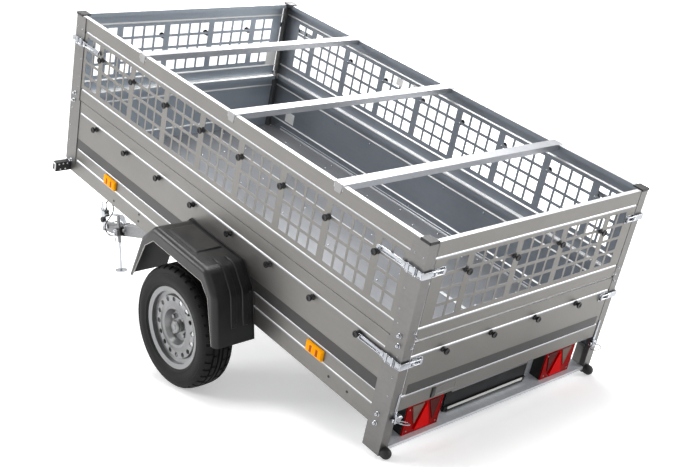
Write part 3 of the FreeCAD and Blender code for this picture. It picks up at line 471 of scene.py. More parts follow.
    @staticmethod
    def copies(master: Piece, name: str, places: Iterable[Matrix], keep: bool = False) -> Piece:
        """Copy a piece to every place and join the copies.

        Args:
            master: The piece that repeats.
            name: Name of the whole.
            places: Where the copies go.
            keep: Whether the master stays for later use.

        Returns:
            The whole.
        """
        whole = Bench.joined(name, [Bench.twin(master, name, place) for place in places])
        if not keep:
            bpy.data.objects.remove(master)
        return whole


# ---------------------------------------------------------------- finishes


class Graph:
    """A node tree that is written down as sums."""

    def __init__(self, tree: Tree) -> None:
        """Start on a tree."""
        self.tree = tree

    def node(self, kind: str, inputs: dict[Union[str, int], object], **settings: object) -> bpy.types.Node:
        """Add a node.

        Args:
            kind: The shader node's kind.
            inputs: Sockets or values for its inputs.
            **settings: Its own settings.

        Returns:
            The node.
        """
        node = self.tree.nodes.new(f"ShaderNode{kind}")
        for name, value in settings.items():
            setattr(node, name, value)
        return self.feed(node, inputs)

    def feed(self, node: bpy.types.Node, inputs: dict[Union[str, int], object]) -> bpy.types.Node:
        """Link or set a node's inputs. A colour is given without its alpha.

        Args:
            node: The node.
            inputs: Sockets or values by name or number.

        Returns:
            The same node.
        """
        for key, value in inputs.items():
            socket = node.inputs[key]
            if isinstance(value, bpy.types.NodeSocket):
                self.tree.links.new(value, socket)
            else:
                socket.default_value = (*value, 1.0) if socket.type == "RGBA" else value
        return node

    def sums(self, kind: str, first: object, second: object = 0.0) -> Socket:
        """Add a math node on two sockets or numbers."""
        return self.node("Math", {0: first, 1: second}, operation=kind).outputs[0]

    def times(self, first: object, second: object) -> Socket:
        """Multiply two sockets or numbers."""
        return self.sums("MULTIPLY", first, second)

    def noise(self, vector: Socket, scale: float, detail: float) -> Socket:
        """Return a noise on a vector."""
        return self.node("TexNoise", {"Vector": vector, "Scale": scale, "Detail": detail}).outputs[0]

    def spread(self, value: Socket, low: float, high: float) -> Socket:
        """Spread a value between two limits over 0 to 1."""
        return self.node("MapRange", {"Value": value, "From Min": low, "From Max": high}).outputs["Result"]

    def blend(self, share: Socket, first: Socket, second: Socket) -> Socket:
        """Mix two colours by a share."""
        return self.node("Mix", {0: share, 6: first, 7: second}, data_type="RGBA").outputs[2]

    def depth(self, vector: Socket) -> Socket:
        """Measure how far a place of the bed seat lies behind the box's outer faces, in metres.

        Args:
            vector: The place.

        Returns:
            The distance.
        """
        x, y, _ = self.node("SeparateXYZ", {0: vector}).outputs
        ends = self.sums("MINIMUM", x, self.sums("SUBTRACT", BED_LENGTH, x))
        return self.sums("MINIMUM", self.sums("SUBTRACT", SIDE_FACE, self.sums("ABSOLUTE", y)), ends)

    def seen(self) -> Socket:
        """Return 1 for the rays that show the background: camera, glossy and transmission rays."""
        path = self.node("LightPath", {}).outputs
        pair = self.sums("MAXIMUM", path["Is Camera Ray"], path["Is Glossy Ray"])
        return self.sums("MAXIMUM", pair, path["Is Transmission Ray"])


class Effects:
    """Shader groups shared by the finishes, each built once."""

    @staticmethod
    def group(
        name: str, colours: Sequence[str], floats: Sequence[str], outputs: Sequence[str]
    ) -> tuple[Graph, Sequence[Socket], bpy.types.Node]:
        """Start a group with a vector input and named sockets.

        Args:
            name: Name of the group.
            colours: Names of its colour inputs.
            floats: Names of its number inputs.
            outputs: Names of its number outputs, besides its colour.

        Returns:
            The graph, the outputs of its input node, and its output node.
        """
        tree = bpy.data.node_groups.new(name, "ShaderNodeTree")
        tree.interface.new_socket("Vector", in_out="INPUT", socket_type="NodeSocketVector")
        tree.interface.new_socket("Color", in_out="OUTPUT", socket_type="NodeSocketColor")
        kinds = ((colours, "INPUT", "Color"), (floats, "INPUT", "Float"), (outputs, "OUTPUT", "Float"))
        for labels, way, kind in kinds:
            for label in labels:
                tree.interface.new_socket(label, in_out=way, socket_type=f"NodeSocket{kind}")
        return Graph(tree), tree.nodes.new("NodeGroupInput").outputs, tree.nodes.new("NodeGroupOutput")

    @staticmethod
    @cache
    def zinc() -> Tree:
        """Rolled zinc coat: long rolling streaks, soft clouds, fine spangle; painted sky reflection and ledge
        highlights in the box.

        Returns:
            The group.
        """
        graph, given, end = Effects.group(
            "zinc_coat", ("Light", "Dark", "Inner light", "Inner dark", "Crest"),
            ("Smooth", "Rough", "Spangle", "Streaks", "Inner share", "Metal", "Inner metal"),
            ("Roughness", "Height", "Metal"),
        )
        vector, times, sums = given["Vector"], graph.times, graph.sums
        depth = graph.depth(vector)
        # Painted reflection: faces more than 0.9 mm behind the outer faces take the cooler, lighter inner tones and the
        # inner metal share, which paint the sky's reflection inside the box.
        inside = times(graph.spread(depth, 0.0006, 0.0009), given["Inner share"])
        # Painted highlight: faces 2.7 mm to 21.3 mm behind the outer faces, the flanges and ledges, take a pale colour
        # for the light they catch; the lips 22 mm in keep the inner tones.
        crest = times(graph.spread(depth, 0.0024, 0.0030), given["Inner share"])
        crest = sums("SUBTRACT", crest, times(crest, graph.spread(depth, 0.0211, 0.0216)))
        light = graph.blend(inside, given["Light"], given["Inner light"])
        dark = graph.blend(inside, given["Dark"], given["Inner dark"])
        light = graph.blend(crest, light, given["Crest"])
        dark = graph.blend(crest, dark, given["Crest"])
        metal = sums("ADD", given["Metal"], times(sums("SUBTRACT", given["Inner metal"], given["Metal"]), inside))
        stretch = graph.node("Mapping", {"Vector": vector, "Scale": (0.6, 14, 14)}).outputs[0]
        flakes = graph.node("TexVoronoi", {"Vector": vector, "Scale": 95}).outputs["Color"]
        flake = graph.node("SeparateColor", {0: flakes}).outputs[0]
        streaks = times(graph.spread(graph.noise(stretch, 9, 5), 0.3, 0.7), given["Streaks"])
        clouds = times(graph.spread(graph.noise(vector, 3.2, 3), 0.3, 0.72), 0.55)
        tone = sums("ADD", sums("ADD", streaks, clouds), times(flake, given["Spangle"]))
        rough = times(sums("SUBTRACT", given["Rough"], given["Smooth"]), tone)
        graph.feed(end, {
            "Color": graph.blend(tone, dark, light),
            "Roughness": sums("ADD", rough, given["Smooth"]),
            "Height": sums("ADD", times(graph.noise(vector, 420, 2), 0.35), streaks),
            "Metal": metal,
        })
        return graph.tree

    @staticmethod
    @cache
    def moulded() -> Tree:
        """Moulded plastic or rubber: grained skin, soft tone changes and a trace of dust in the grain.

        Returns:
            The group.
        """
        graph, given, end = Effects.group(
            "moulded_skin", ("Base", "Dust"), ("Dust share", "Grain", "Roughness"), ("Roughness", "Height")
        )
        vector, times, sums = given["Vector"], graph.times, graph.sums
        skin = graph.node("TexVoronoi", {"Vector": vector, "Scale": given["Grain"]})
        clouds = graph.noise(vector, 14, 5)
        dust = times(graph.spread(clouds, 0.42, 0.75), given["Dust share"])
        dust = times(dust, sums("ADD", graph.noise(vector, 160, 3), 0.4))
        change = times(sums("SUBTRACT", clouds, 0.5), 0.25)
        graph.feed(end, {
            "Color": graph.blend(dust, given["Base"], given["Dust"]),
            "Roughness": sums("ADD", given["Roughness"], change),
            "Height": skin.outputs["Distance"],
        })
        return graph.tree

    @staticmethod
    def coat(
        name: str, effect: Tree, bump: tuple[float, float], values: dict[str, object], shader: dict[str, object]
    ) -> Material:
        """Make a material whose Principled shader is fed by one effect group.

        Args:
            name: Name of the material.
            effect: The group that gives colour, roughness and height. A group that also gives the metal share
                follows the tipped bed.
            bump: Strength and distance of the bump.
            values: Values of the group's inputs.
            shader: Values of the shader's own inputs.

        Returns:
            The material.
        """
        material = bpy.data.materials.new(name)
        material.use_nodes = True
        graph = Graph(material.node_tree)
        place = {"Vector": graph.node("TexCoord", {}).outputs["Object"]}
        if effect is Effects.zinc():
            place |= {"Rotation": (0, BED_TIP, 0), "Location": BED_SEAT.inverted().translation}
        lay = graph.node("Mapping", place)
        given = graph.node("Group", {}, node_tree=effect)
        graph.feed(given, {"Vector": lay.outputs[0], **values})
        height = {"Strength": bump[0], "Distance": bump[1], "Height": given.outputs["Height"]}
        links = {"Base Color": given.outputs["Color"], "Roughness": given.outputs["Roughness"]}
        if "Metal" in given.outputs:
            links["Metallic"] = given.outputs["Metal"]
        links["Normal"] = graph.node("Bump", height).outputs[0]
        graph.feed(graph.tree.nodes["Principled BSDF"], {**links, **shader})
        return material


@dataclass(frozen=True)
class ZincFinish:
    """A zinc coat on steel. The inner tones paint the sky's reflection inside the box where the inner share is over 0.
    """

    name: str
    light: Colour
    dark: Colour
    smooth: float
    rough: float
    metal: float = 0.92
    spangle: float = 0.12
    bump: float = 0.05
    streaks: float = 0.18
    # The inner tones and the inner metal paint the sky's reflection on the faces inside the box.
    inner_light: Colour = (0.4, 0.4, 0.4)
    inner_dark: Colour = (0.3, 0.3, 0.3)
    inner_share: float = 0.0
    # Pale colour that paints the highlight on the flanges and ledges inside the box.
    crest: Colour = (0.74, 0.74, 0.73)
    inner_metal: float = 0.5

    def make(self) -> Material:
        """Build the material. Each field but the name and the bump is an input of the group."""
        values = {key.replace("_", " ").capitalize(): value for key, value in asdict(self).items()}
        name, bump = values.pop("Name"), values.pop("Bump")
        return Effects.coat(name, Effects.zinc(), (bump, 0.0006), values, {})


@dataclass(frozen=True)
class MouldedFinish:
    """A moulded plastic or rubber."""

    name: str
    base: Colour
    dust: Colour
    share: float
    grain: float
    roughness: float
    bump: float = 0.2
    specular: float = 0.35

    def make(self) -> Material:
        """Build the material."""
        values = {
            "Base": self.base, "Dust": self.dust, "Dust share": self.share, "Grain": self.grain,
            "Roughness": self.roughness,
        }
        shader = {"Metallic": 0.0, "Specular IOR Level": self.specular}
        return Effects.coat(self.name, Effects.moulded(), (self.bump, 0.0004), values, shader)


@dataclass(frozen=True)
class LensFinish:
    """A moulded lens with a prismatic inner face and a painted glow."""

    name: str
    colour: Colour
    deep: Colour
    # Emission strength: a painted glow; the lamps are not lit.
    glow: float
    prism: float = 260.0
    coat: float = 0.0

    def make(self) -> Material:
        """Build the material."""
        values = {"Base": self.colour, "Dust": self.deep, "Dust share": 0.45, "Grain": self.prism, "Roughness": 0.35}
        shader = {
            "Coat Weight": self.coat, "Coat Roughness": 0.08, "Specular IOR Level": 0.03,
            "Emission Color": self.colour, "Emission Strength": self.glow,
        }
        return Effects.coat(self.name, Effects.moulded(), (0.12, 0.001), values, shader)


class Finishes:
    """Every finish of the trailer, by a short name."""

    # Outer tones of the sheets; their warm tint is a painted reflection of warm surroundings.
    warm: ClassVar[Colour] = (0.200, 0.193, 0.183)
    cool: ClassVar[Colour] = (0.158, 0.153, 0.145)
    zincs: ClassVar[dict[str, ZincFinish]] = {
        # Inner tones: painted sky reflection on the inner faces.
        "sheet": ZincFinish(
            "outer_sheet", warm, cool, 0.40, 0.48, inner_light=(0.28, 0.305, 0.34), inner_dark=(0.205, 0.225, 0.255),
            inner_share=1.0,
        ),
        # Painted sheen: the front board and front mesh take lighter inner tones for the light their inner faces reflect
        # from the rear.
        "front": ZincFinish(
            "front_sheet_painted_sheen", warm, cool, 0.40, 0.48, inner_light=(0.46, 0.51, 0.57), inner_dark=(0.34, 0.38, 0.43),
            inner_share=1.0,
        ),
        # Painted highlight: the bright colour of the wall lips, bead strips and floor seams stands in for the light
        # their folds catch.
        "flange": ZincFinish("lip_painted_highlight", (0.78, 0.79, 0.80), (0.62, 0.63, 0.65), 0.3, 0.4, 0.5),
        "post": ZincFinish("post_steel", (0.190, 0.187, 0.182), (0.145, 0.142, 0.139), 0.38, 0.48, spangle=0.2),
        # Painted light: the up-facing sill is coloured bright for the sky light and reflection it catches.
        "sill": ZincFinish("sill_steel", (0.86, 0.88, 0.92), (0.58, 0.60, 0.64), 0.25, 0.42, 0.35),
        "floor": ZincFinish("floor_sheet", (0.262, 0.268, 0.280), (0.19, 0.196, 0.207), 0.34, 0.5, 0.6),
        "bar": ZincFinish("crossbar_steel", (0.50, 0.51, 0.53), (0.40, 0.41, 0.44), 0.3, 0.42, spangle=0.25),
        "cap": ZincFinish("bar_tab", (0.30, 0.30, 0.30), (0.22, 0.22, 0.22), 0.38, 0.5),
        "frame": ZincFinish("dipped_steel", (0.215, 0.219, 0.224), (0.14, 0.143, 0.148), 0.34, 0.5, 0.92, 0.45, 0.06),
        "zinc": ZincFinish("zinc_plate", (0.46, 0.475, 0.50), (0.30, 0.312, 0.335), 0.16, 0.26, 1.0, 0.08, 0.01),
        "silver": ZincFinish("wheel_silver", (0.235, 0.237, 0.240), (0.19, 0.192, 0.196), 0.3, 0.38, 0.75, 0.05, 0.02),
        "stripe": ZincFinish("stripe_film", (0.021, 0.020, 0.0195), (0.018, 0.017, 0.0165), 0.42, 0.5, 0.0, 0.0, 0.02),
    }
    mouldings: ClassVar[dict[str, MouldedFinish]] = {
        "tyre": MouldedFinish("tyre_rubber", (0.0055, 0.0055, 0.006), (0.022, 0.021, 0.020), 0.3, 700, 0.6, 0.2, 0.16),
        "gloss": MouldedFinish("knob_plastic", (0.006, 0.006, 0.0065), (0.02, 0.02, 0.02), 0.15, 900, 0.3, 0.05, 0.3),
        "plastic": MouldedFinish(
            "guard_plastic", (0.0055, 0.0055, 0.006), (0.020, 0.020, 0.021), 0.2, 1400, 0.36, 0.1, 0.36
        ),
        "plate": MouldedFinish("plate_black", (0.006, 0.006, 0.0065), (0.02, 0.02, 0.021), 0.3, 60, 0.5, 0.2, 0.12),
        "rubber": MouldedFinish("black_rubber", (0.012, 0.012, 0.013), (0.04, 0.04, 0.04), 0.25, 900, 0.55),
        "paint": MouldedFinish("black_paint", (0.014, 0.014, 0.015), (0.05, 0.05, 0.05), 0.15, 500, 0.38, 0.05, 0.5),
        "wire": MouldedFinish("coated_wire", (0.16, 0.155, 0.15), (0.3, 0.29, 0.28), 0.3, 1200, 0.4, 0.2, 0.5),
        "label": MouldedFinish("blank_label", (0.78, 0.78, 0.76), (0.6, 0.6, 0.58), 0.3, 600, 0.5, 0.02),
        # Pale strip colour that paints the highlight along the mudguards' opening edge.
        "edge": MouldedFinish("guard_edge_highlight", (0.50, 0.48, 0.45), (0.6, 0.57, 0.54), 0.2, 1400, 0.5),
    }
    lenses: ClassVar[dict[str, LensFinish]] = {
        # The glows paint light on the unlit lenses and on the reflector.
        "red": LensFinish("red_lens", (0.30, 0.0004, 0.0008), (0.13, 0.0003, 0.0006), 0.05),
        "red_bright": LensFinish("reflector_red", (0.62, 0.0006, 0.0012), (0.46, 0.0004, 0.001), 0.12, 420),
        "dusk": LensFinish("dark_lens", (0.09, 0.010, 0.010), (0.045, 0.006, 0.006), 0.0, coat=0.1),
        "amber": LensFinish("amber_lens", (0.92, 0.36, 0.002), (0.78, 0.25, 0.001), 0.10),
        "amber_deep": LensFinish("amber_deep", (0.45, 0.07, 0.002), (0.3, 0.04, 0.001), 0.05, coat=0.25),
        "smoke": LensFinish("smoked_lens", (0.20, 0.135, 0.112), (0.11, 0.08, 0.07), 0.0, coat=0.1),
        "clear": LensFinish("clear_lens", (0.82, 0.83, 0.84), (0.6, 0.61, 0.62), 0.0, coat=0.3),
    }
    nodes: ClassVar[dict[str, tuple[str, ...]]] = {
        "sheet": ("side_board", "mesh_panel", "tailgate", "rear_mesh_panel"),
        "front": ("front_board", "front_mesh_panel"),
        "sill": ("rear_sill",),
        "post": ("lower_posts", "mesh_posts"),
        "bar": ("crossbar",),
        "floor": ("bed_floor",),
        "silver": ("rim", "hub"),
        "tyre": ("tyre",),
        "zinc": ("latches", "tipping_pin", "leg_rod", "tailgate_catches", "rear_mesh_catches", "front_mesh_catches"),
        "paint": ("leg_clamp", "post_caps"),
        "plastic": ("mudguard", "rear_lamp_housings", "position_lamp_bodies"),
        "plate": ("plate_carrier",),
        "rubber": ("rear_buffers",),
        "red": ("rear_lenses",),
        "amber": ("side_markers",),
        "clear": ("position_lenses",),
    }

    def __init__(self) -> None:
        """Build the materials."""
        self.made = {key: kind.make() for key, kind in {**self.zincs, **self.mouldings, **self.lenses}.items()}

    def __getitem__(self, key: str) -> Material:
        """Return a finish by its short name."""
        return self.made[key]

    def dress_nodes(self) -> None:
        """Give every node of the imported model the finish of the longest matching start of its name."""
        starts = {start: key for key, names in self.nodes.items() for start in names}
        for name, node in frame["nodes"].items():
            best = max((start for start in starts if name.startswith(start)), key=len, default="")
            finish = self[starts.get(best, "frame")]
            if not node.data.materials:
                node.data.materials.append(finish)
            for slot in node.material_slots:
                slot.material = finish


@dataclass
class Maker:
    """Models one group of pieces and fits them to the trailer."""

    finishes: Finishes
    seat: ClassVar[Matrix] = BED_SEAT
    body: ClassVar[Body] = Body.BED

    def fit(self, piece: Piece, slot: Slot, finish: str, body: Optional[Body] = None, node: str = "") -> Piece:
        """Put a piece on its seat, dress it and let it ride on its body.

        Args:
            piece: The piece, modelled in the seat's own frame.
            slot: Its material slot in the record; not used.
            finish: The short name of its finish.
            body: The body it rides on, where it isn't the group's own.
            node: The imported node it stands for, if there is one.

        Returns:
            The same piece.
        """
        rides = body or self.body
        piece.data.transform(self.seat)
        piece.data.materials.clear()
        piece.data.materials.append(self.finishes[finish])
        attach(piece, rides.value)
        if node:
            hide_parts(node)
        log.info("%s rides on %s", piece.name, rides.value)
        return piece


# ---------------------------------------------------------------- cords


@dataclass
class Cords(Maker):
    """The power cable with its plug, and the breakaway cable.

    The routes' points are ahead of the ball's centre, left of the middle and above the drawbar's axis.
    """

    power: tuple[Point, ...] = (
        (-0.163, 0.041, -0.023), (-0.141, 0.041, -0.023), (-0.118, 0.045, -0.030), (-0.086, 0.052, -0.024),
        (-0.067, 0.058, -0.002), (-0.069, 0.060, 0.028), (-0.093, 0.058, 0.054), (-0.121, 0.056, 0.073),
        (-0.150, 0.051, 0.096), (-0.171, 0.047, 0.124), (-0.171, 0.046, 0.150), (-0.151, 0.046, 0.172),
        (-0.121, 0.048, 0.180), (-0.095, 0.051, 0.162), (-0.095, 0.051, 0.134),
    )
    safety: tuple[Point, ...] = (
        (-0.117, 0.018, -0.034), (-0.090, 0.018, -0.034), (-0.060, 0.028, -0.038), (-0.032, 0.046, -0.028),
        (-0.010, 0.062, -0.004), (0.0, 0.075, 0.028), (0.004, 0.083, 0.060), (0.006, 0.084, 0.092),
        (0.0, 0.084, 0.122), (-0.012, 0.078, 0.147), (-0.022, 0.067, 0.156), (-0.025, 0.056, 0.146),
        (-0.0245, 0.047, 0.128), (-0.0235, 0.0350, 0.110),
    )
    plug_line: Line = (
        (0.0, 0.084), (0.0125, 0.084), (0.0140, 0.086), (0.0140, 0.092), (0.0132, 0.093), (0.0132, 0.098),
        (0.0140, 0.099), (0.0140, 0.105), (0.0132, 0.106), (0.0132, 0.111), (0.0160, 0.112), (0.0160, 0.1175),
        (0.0120, 0.122), (0.0080, 0.124), (0.0052, 0.134), (0.0, 0.134),
    )
    seat: ClassVar[Matrix] = GROUND
    body: ClassVar[Body] = Body.DRAWBAR

    def plug(self) -> Piece:
        """Model the cable's plug: ribbed body, collar and a cone round the cable."""
        plug = Bench.lathe("power_plug", self.plug_line, (0, 0, 0), 24)
        upright = Matrix.Translation((1.690, 0.051, 0)) @ Matrix.Rotation(QUARTER, 4, "X")
        plug.data.transform(DRAWBAR_SEAT @ upright)
        return self.fit(plug, Slot.BLACK_PLASTIC, "plastic")

    def cord(
        self, name: str, length: float, thickness: float, far_end: str, route: Sequence[Point], finish: str,
        pieces: Sequence[Piece] = (),
    ) -> None:
        """Args:
            name: Name of the cord.
            length: Its length; not used.
            thickness: Its diameter.
            far_end: What its far end is; not used.
            route: The points it follows.
            finish: The short name of its finish.
            pieces: The pieces at its far end; not used.
        """
        seat = DRAWBAR_SEAT @ Matrix.Translation((BALL_REACH, 0, 0))
        data = bpy.data.curves.new(name, "CURVE")
        data.dimensions = "3D"
        data.bevel_depth = thickness / 2
        data.bevel_resolution = 4
        data.resolution_u = 8
        data.use_fill_caps = True
        spline = data.splines.new("NURBS")
        spline.points.add(len(route) - 1)
        for point, place in zip(spline.points, route):
            point.co = (*(seat @ Vector(place)), 1.0)
        spline.order_u = 3
        spline.use_endpoint_u = True
        cord = bpy.data.objects.new(name, data)
        bpy.context.scene.collection.objects.link(cord)
        self.fit(cord, Slot.BLACK_RUBBER, finish)
        tuple(seat @ Vector(route[0]))

    def build(self) -> None:
        """Lay both cables."""
        plug = self.plug()
        self.cord("power_lead", 0.415, 0.007, "plug", self.power, "rubber", (plug,))
        self.cord("breakaway_line", 0.360, 0.004, "object", self.safety, "wire")


# ---------------------------------------------------------------- bed fittings


@dataclass
class Stripes(Maker):
    """Dark film stripes along the boards and the tailgate, just proud of the sheet."""

    proud: float = 0.0006
    sunk: float = 0.0004
    side_span: tuple[float, float] = (0.094, 2.33)
    side_level: tuple[float, float] = (-0.655, -0.605)
    gate_half: float = 0.578
    gate_level: tuple[float, float] = (-0.643, -0.598)

    def build(self) -> None:
        """Lay the three stripes."""
        (start, end), (low, high) = self.side_span, self.side_level
        spans = [
            (f"side_stripe_{side_word(side)}", Body.BED, (start, side * (SIDE_FACE - self.sunk), low),
             (end, side * (SIDE_FACE + self.proud), high))
            for side in SIDES
        ]
        gate = list(zip((-self.proud, self.sunk), (-self.gate_half, self.gate_half), self.gate_level))
        for name, body, first, last in (*spans, ("tailgate_stripe", Body.TAILGATE, *gate)):
            stripe = Bench.soften(Bench.block(name, first, last), 0.0002, 1)
            self.fit(stripe, Slot.BLACK_PAINT, "stripe", body)


@dataclass
class TarpKnobs(Maker):
    """Black knobs along the panels, which hold a tarpaulin's cord."""

    outline: Line = (
        (0.0, 0.0), (0.0130, 0.0), (0.0130, 0.0030), (0.0098, 0.0055), (0.0075, 0.0085), (0.0075, 0.0145),
        (0.0120, 0.0155), (0.0140, 0.0175), (0.0140, 0.0220), (0.0125, 0.0240), (0.0085, 0.0240), (0.0065, 0.0214),
        (0.0, 0.0214),
    )
    side_count: int = 8
    ends: tuple[tuple[str, Body, float, float, float, float], ...] = (
        ("rear_door_knobs", Body.REAR_DOOR, 0.0, 0.420, -0.2677, -0.144),
        ("tailgate_knobs", Body.TAILGATE, 0.0, 0.429, -0.2665, -0.4815),
        ("front_door_knobs", Body.FRONT_DOOR, BED_LENGTH, 0.420, -0.2677, -0.144),
        ("front_board_knobs", Body.BED, BED_LENGTH, 0.429, -0.2665, -0.4815),
    )

    def build(self) -> None:
        """Model one knob, with its foot, waisted neck and dished head, and copy it along every panel."""
        knob = Bench.lathe("tarp_knob", self.outline, (0, 0, 0), 20, 35)
        rows = [
            (f"{word}_knobs_{side_word(side)}", Body.BED, [
                spot(ROW_START + ROW_PITCH * step, side * SIDE_FACE, level, outward(side))
                for step in range(self.side_count)
            ])
            for side in SIDES
            for word, level in (("mesh", MESH_ROW), ("board", BOARD_ROW))
        ]
        for name, body, face, first, step, level in self.ends:
            turn = -QUARTER if face else QUARTER
            rows.append((name, body, [spot(face, first + step * index, level, turn) for index in range(4)]))
        for name, body, places in rows:
            self.fit(Bench.copies(knob, name, places, keep=True), Slot.BLACK_PLASTIC, "gloss", body)
        bpy.data.objects.remove(knob)


@dataclass
class Wheels(Maker):
    """Tyres with their tread, and the small parts on the rims."""

    centre_y: float = 0.756
    hub_face: float = 0.772
    bolt_circle: float = 0.050
    steps: int = 120
    outer: Line = (
        (0.1755, 0.052), (0.1785, 0.0605), (0.183, 0.0655), (0.190, 0.0695), (0.1925, 0.0715), (0.196, 0.0712),
        (0.206, 0.0745), (0.220, 0.0772), (0.232, 0.0765), (0.238, 0.0752), (0.2395, 0.0765), (0.242, 0.0762),
        (0.251, 0.0725), (0.259, 0.0665), (0.2645, 0.0600), (0.2675, 0.0540), (0.2690, 0.0480), (0.2703, 0.0420),
        (0.2706, 0.0405), (0.2640, 0.0392), (0.2640, 0.0335), (0.2714, 0.0322), (0.2722, 0.0150), (0.2723, 0.0140),
        (0.2642, 0.0128), (0.2642, 0.0068), (0.2724, 0.0056),
    )
    inside: Line = ((0.1735, 0.050), (0.186, 0.060), (0.215, 0.068), (0.245, 0.062), (0.258, 0.045))
    seat_line: Line = ((0.0, 0.0), (0.0135, 0.0), (0.0135, 0.0015), (0.0105, 0.0042), (0.0, 0.0042))
    cap_line: Line = (
        (0.0, 0.0), (0.0285, 0.0), (0.0285, 0.004), (0.026, 0.009), (0.022, 0.0105), (0.0205, 0.009), (0.012, 0.009),
        (0.010, 0.0115), (0.0, 0.0125),
    )
    stem_line: Line = (
        (0.0, 0.0), (0.0078, 0.0), (0.0078, 0.003), (0.0052, 0.006), (0.0042, 0.02), (0.0048, 0.0205), (0.0048, 0.031),
        (0.0036, 0.0325), (0.0, 0.0325),
    )
    seat: ClassVar[Matrix] = GROUND

    def section(self) -> Line:
        """Return the closed section of the tyre, from one bead over the tread to the other and back inside."""
        back = [(radius, -along) for radius, along in reversed(self.outer)]
        under = [(radius, -along) for radius, along in self.inside]
        return [*self.outer, (0.2725, 0.0), *back, *under, (0.260, 0.0), *reversed(self.inside), self.outer[0]]

    def tread(self, tyre: Piece) -> None:
        """Sink every third step of the shoulders and every fourth step of the ribs.

        Args:
            tyre: The spun tyre.
        """

        def index(centre: Vector) -> int:
            """Return the step of the spin that a face lies in."""
            return int((math.atan2(centre.z, centre.x) % math.tau) / (math.tau / self.steps))

        def shoulder(centre: Vector, normal: Vector) -> bool:
            """Tell whether a face becomes a groove of the shoulder."""
            inner = not 0.2575 < math.hypot(centre.x, centre.z) < 0.2712 or abs(centre.y) <= 0.0405
            return not inner and normal.dot(centre) > 0 and index(centre) % 3 == 0

        def rib(centre: Vector, normal: Vector) -> bool:
            """Tell whether a face becomes a groove of a rib."""
            broad = math.hypot(centre.x, centre.z) > 0.2705 and 0.0150 < abs(centre.y) < 0.0322
            return broad and index(centre) % 4 == (0 if centre.y > 0 else 2)

        for test, depth in ((shoulder, (0.0022, -0.0045)), (rib, (0.0030, -0.0040))):
            Bench.pick(tyre, test)
            Bench.inset(*depth)

    def bolts(self) -> Piece:
        """Model a wheel's four bolts on their seats."""
        bolt = Bench.barrel("wheel_bolt", (self.bolt_circle, 0.006, 0), 0.0098, 0.012)
        Bench.work(bolt, "+y", (0.0012, 0.0), (0, 0.0012, 0))
        Bench.finish(bolt, 0.0006)
        washer = Bench.lathe("bolt_seat", self.seat_line, (self.bolt_circle, -0.0005, 0), 24, 30)
        places = [Matrix.Rotation(math.radians(45 + 90 * turn), 4, "Y") for turn in range(4)]
        return Bench.copies(Bench.joined("wheel_bolt", [bolt, washer]), "wheel_bolts", places)

    def build(self) -> None:
        """Model one tyre, its bolts, cap and valve, and place them on both wheels."""
        tyre = Bench.lathe("tyre_treaded", self.section(), (0, 0, 0), self.steps, 28)
        self.tread(tyre)
        Bench.done(tyre, 28)
        bolts = self.bolts()
        cap = Bench.lathe("hub_cap", self.cap_line, (0, 0, 0), 40, 25)
        stem = Bench.lathe("valve_stem", self.stem_line, (0, 0, 0), 18, 35)
        lean = Matrix.Rotation(math.radians(215), 4, "Y") @ spot(0.158, self.centre_y + 0.030, 0, math.radians(18))
        for side, body in zip(SIDES, (Body.WHEEL_LEFT, Body.WHEEL_RIGHT)):
            word = side_word(side)
            axle = Matrix.Translation((AXIS_X, 0, AXIS_Z)) @ Matrix.Scale(side, 4, (0, 1, 0))
            for master, name, place, slot, finish, node in (
                (tyre, "tyre_treaded", spot(0, self.centre_y, 0), Slot.TYRE, "tyre", f"tyre_{word}"),
                (bolts, "wheel_bolts", spot(0, self.hub_face + 0.004, 0), Slot.ZINC, "silver", ""),
                (cap, "hub_cap", spot(0, self.hub_face + 0.0245, 0), Slot.ZINC, "silver", ""),
                (stem, "valve_stem", lean, Slot.BLACK_RUBBER, "rubber", ""),
            ):
                self.fit(Bench.twin(master, f"{name}_{word}", axle @ place), slot, finish, body, node)
        for spare in (tyre, bolts, cap, stem):
            bpy.data.objects.remove(spare)


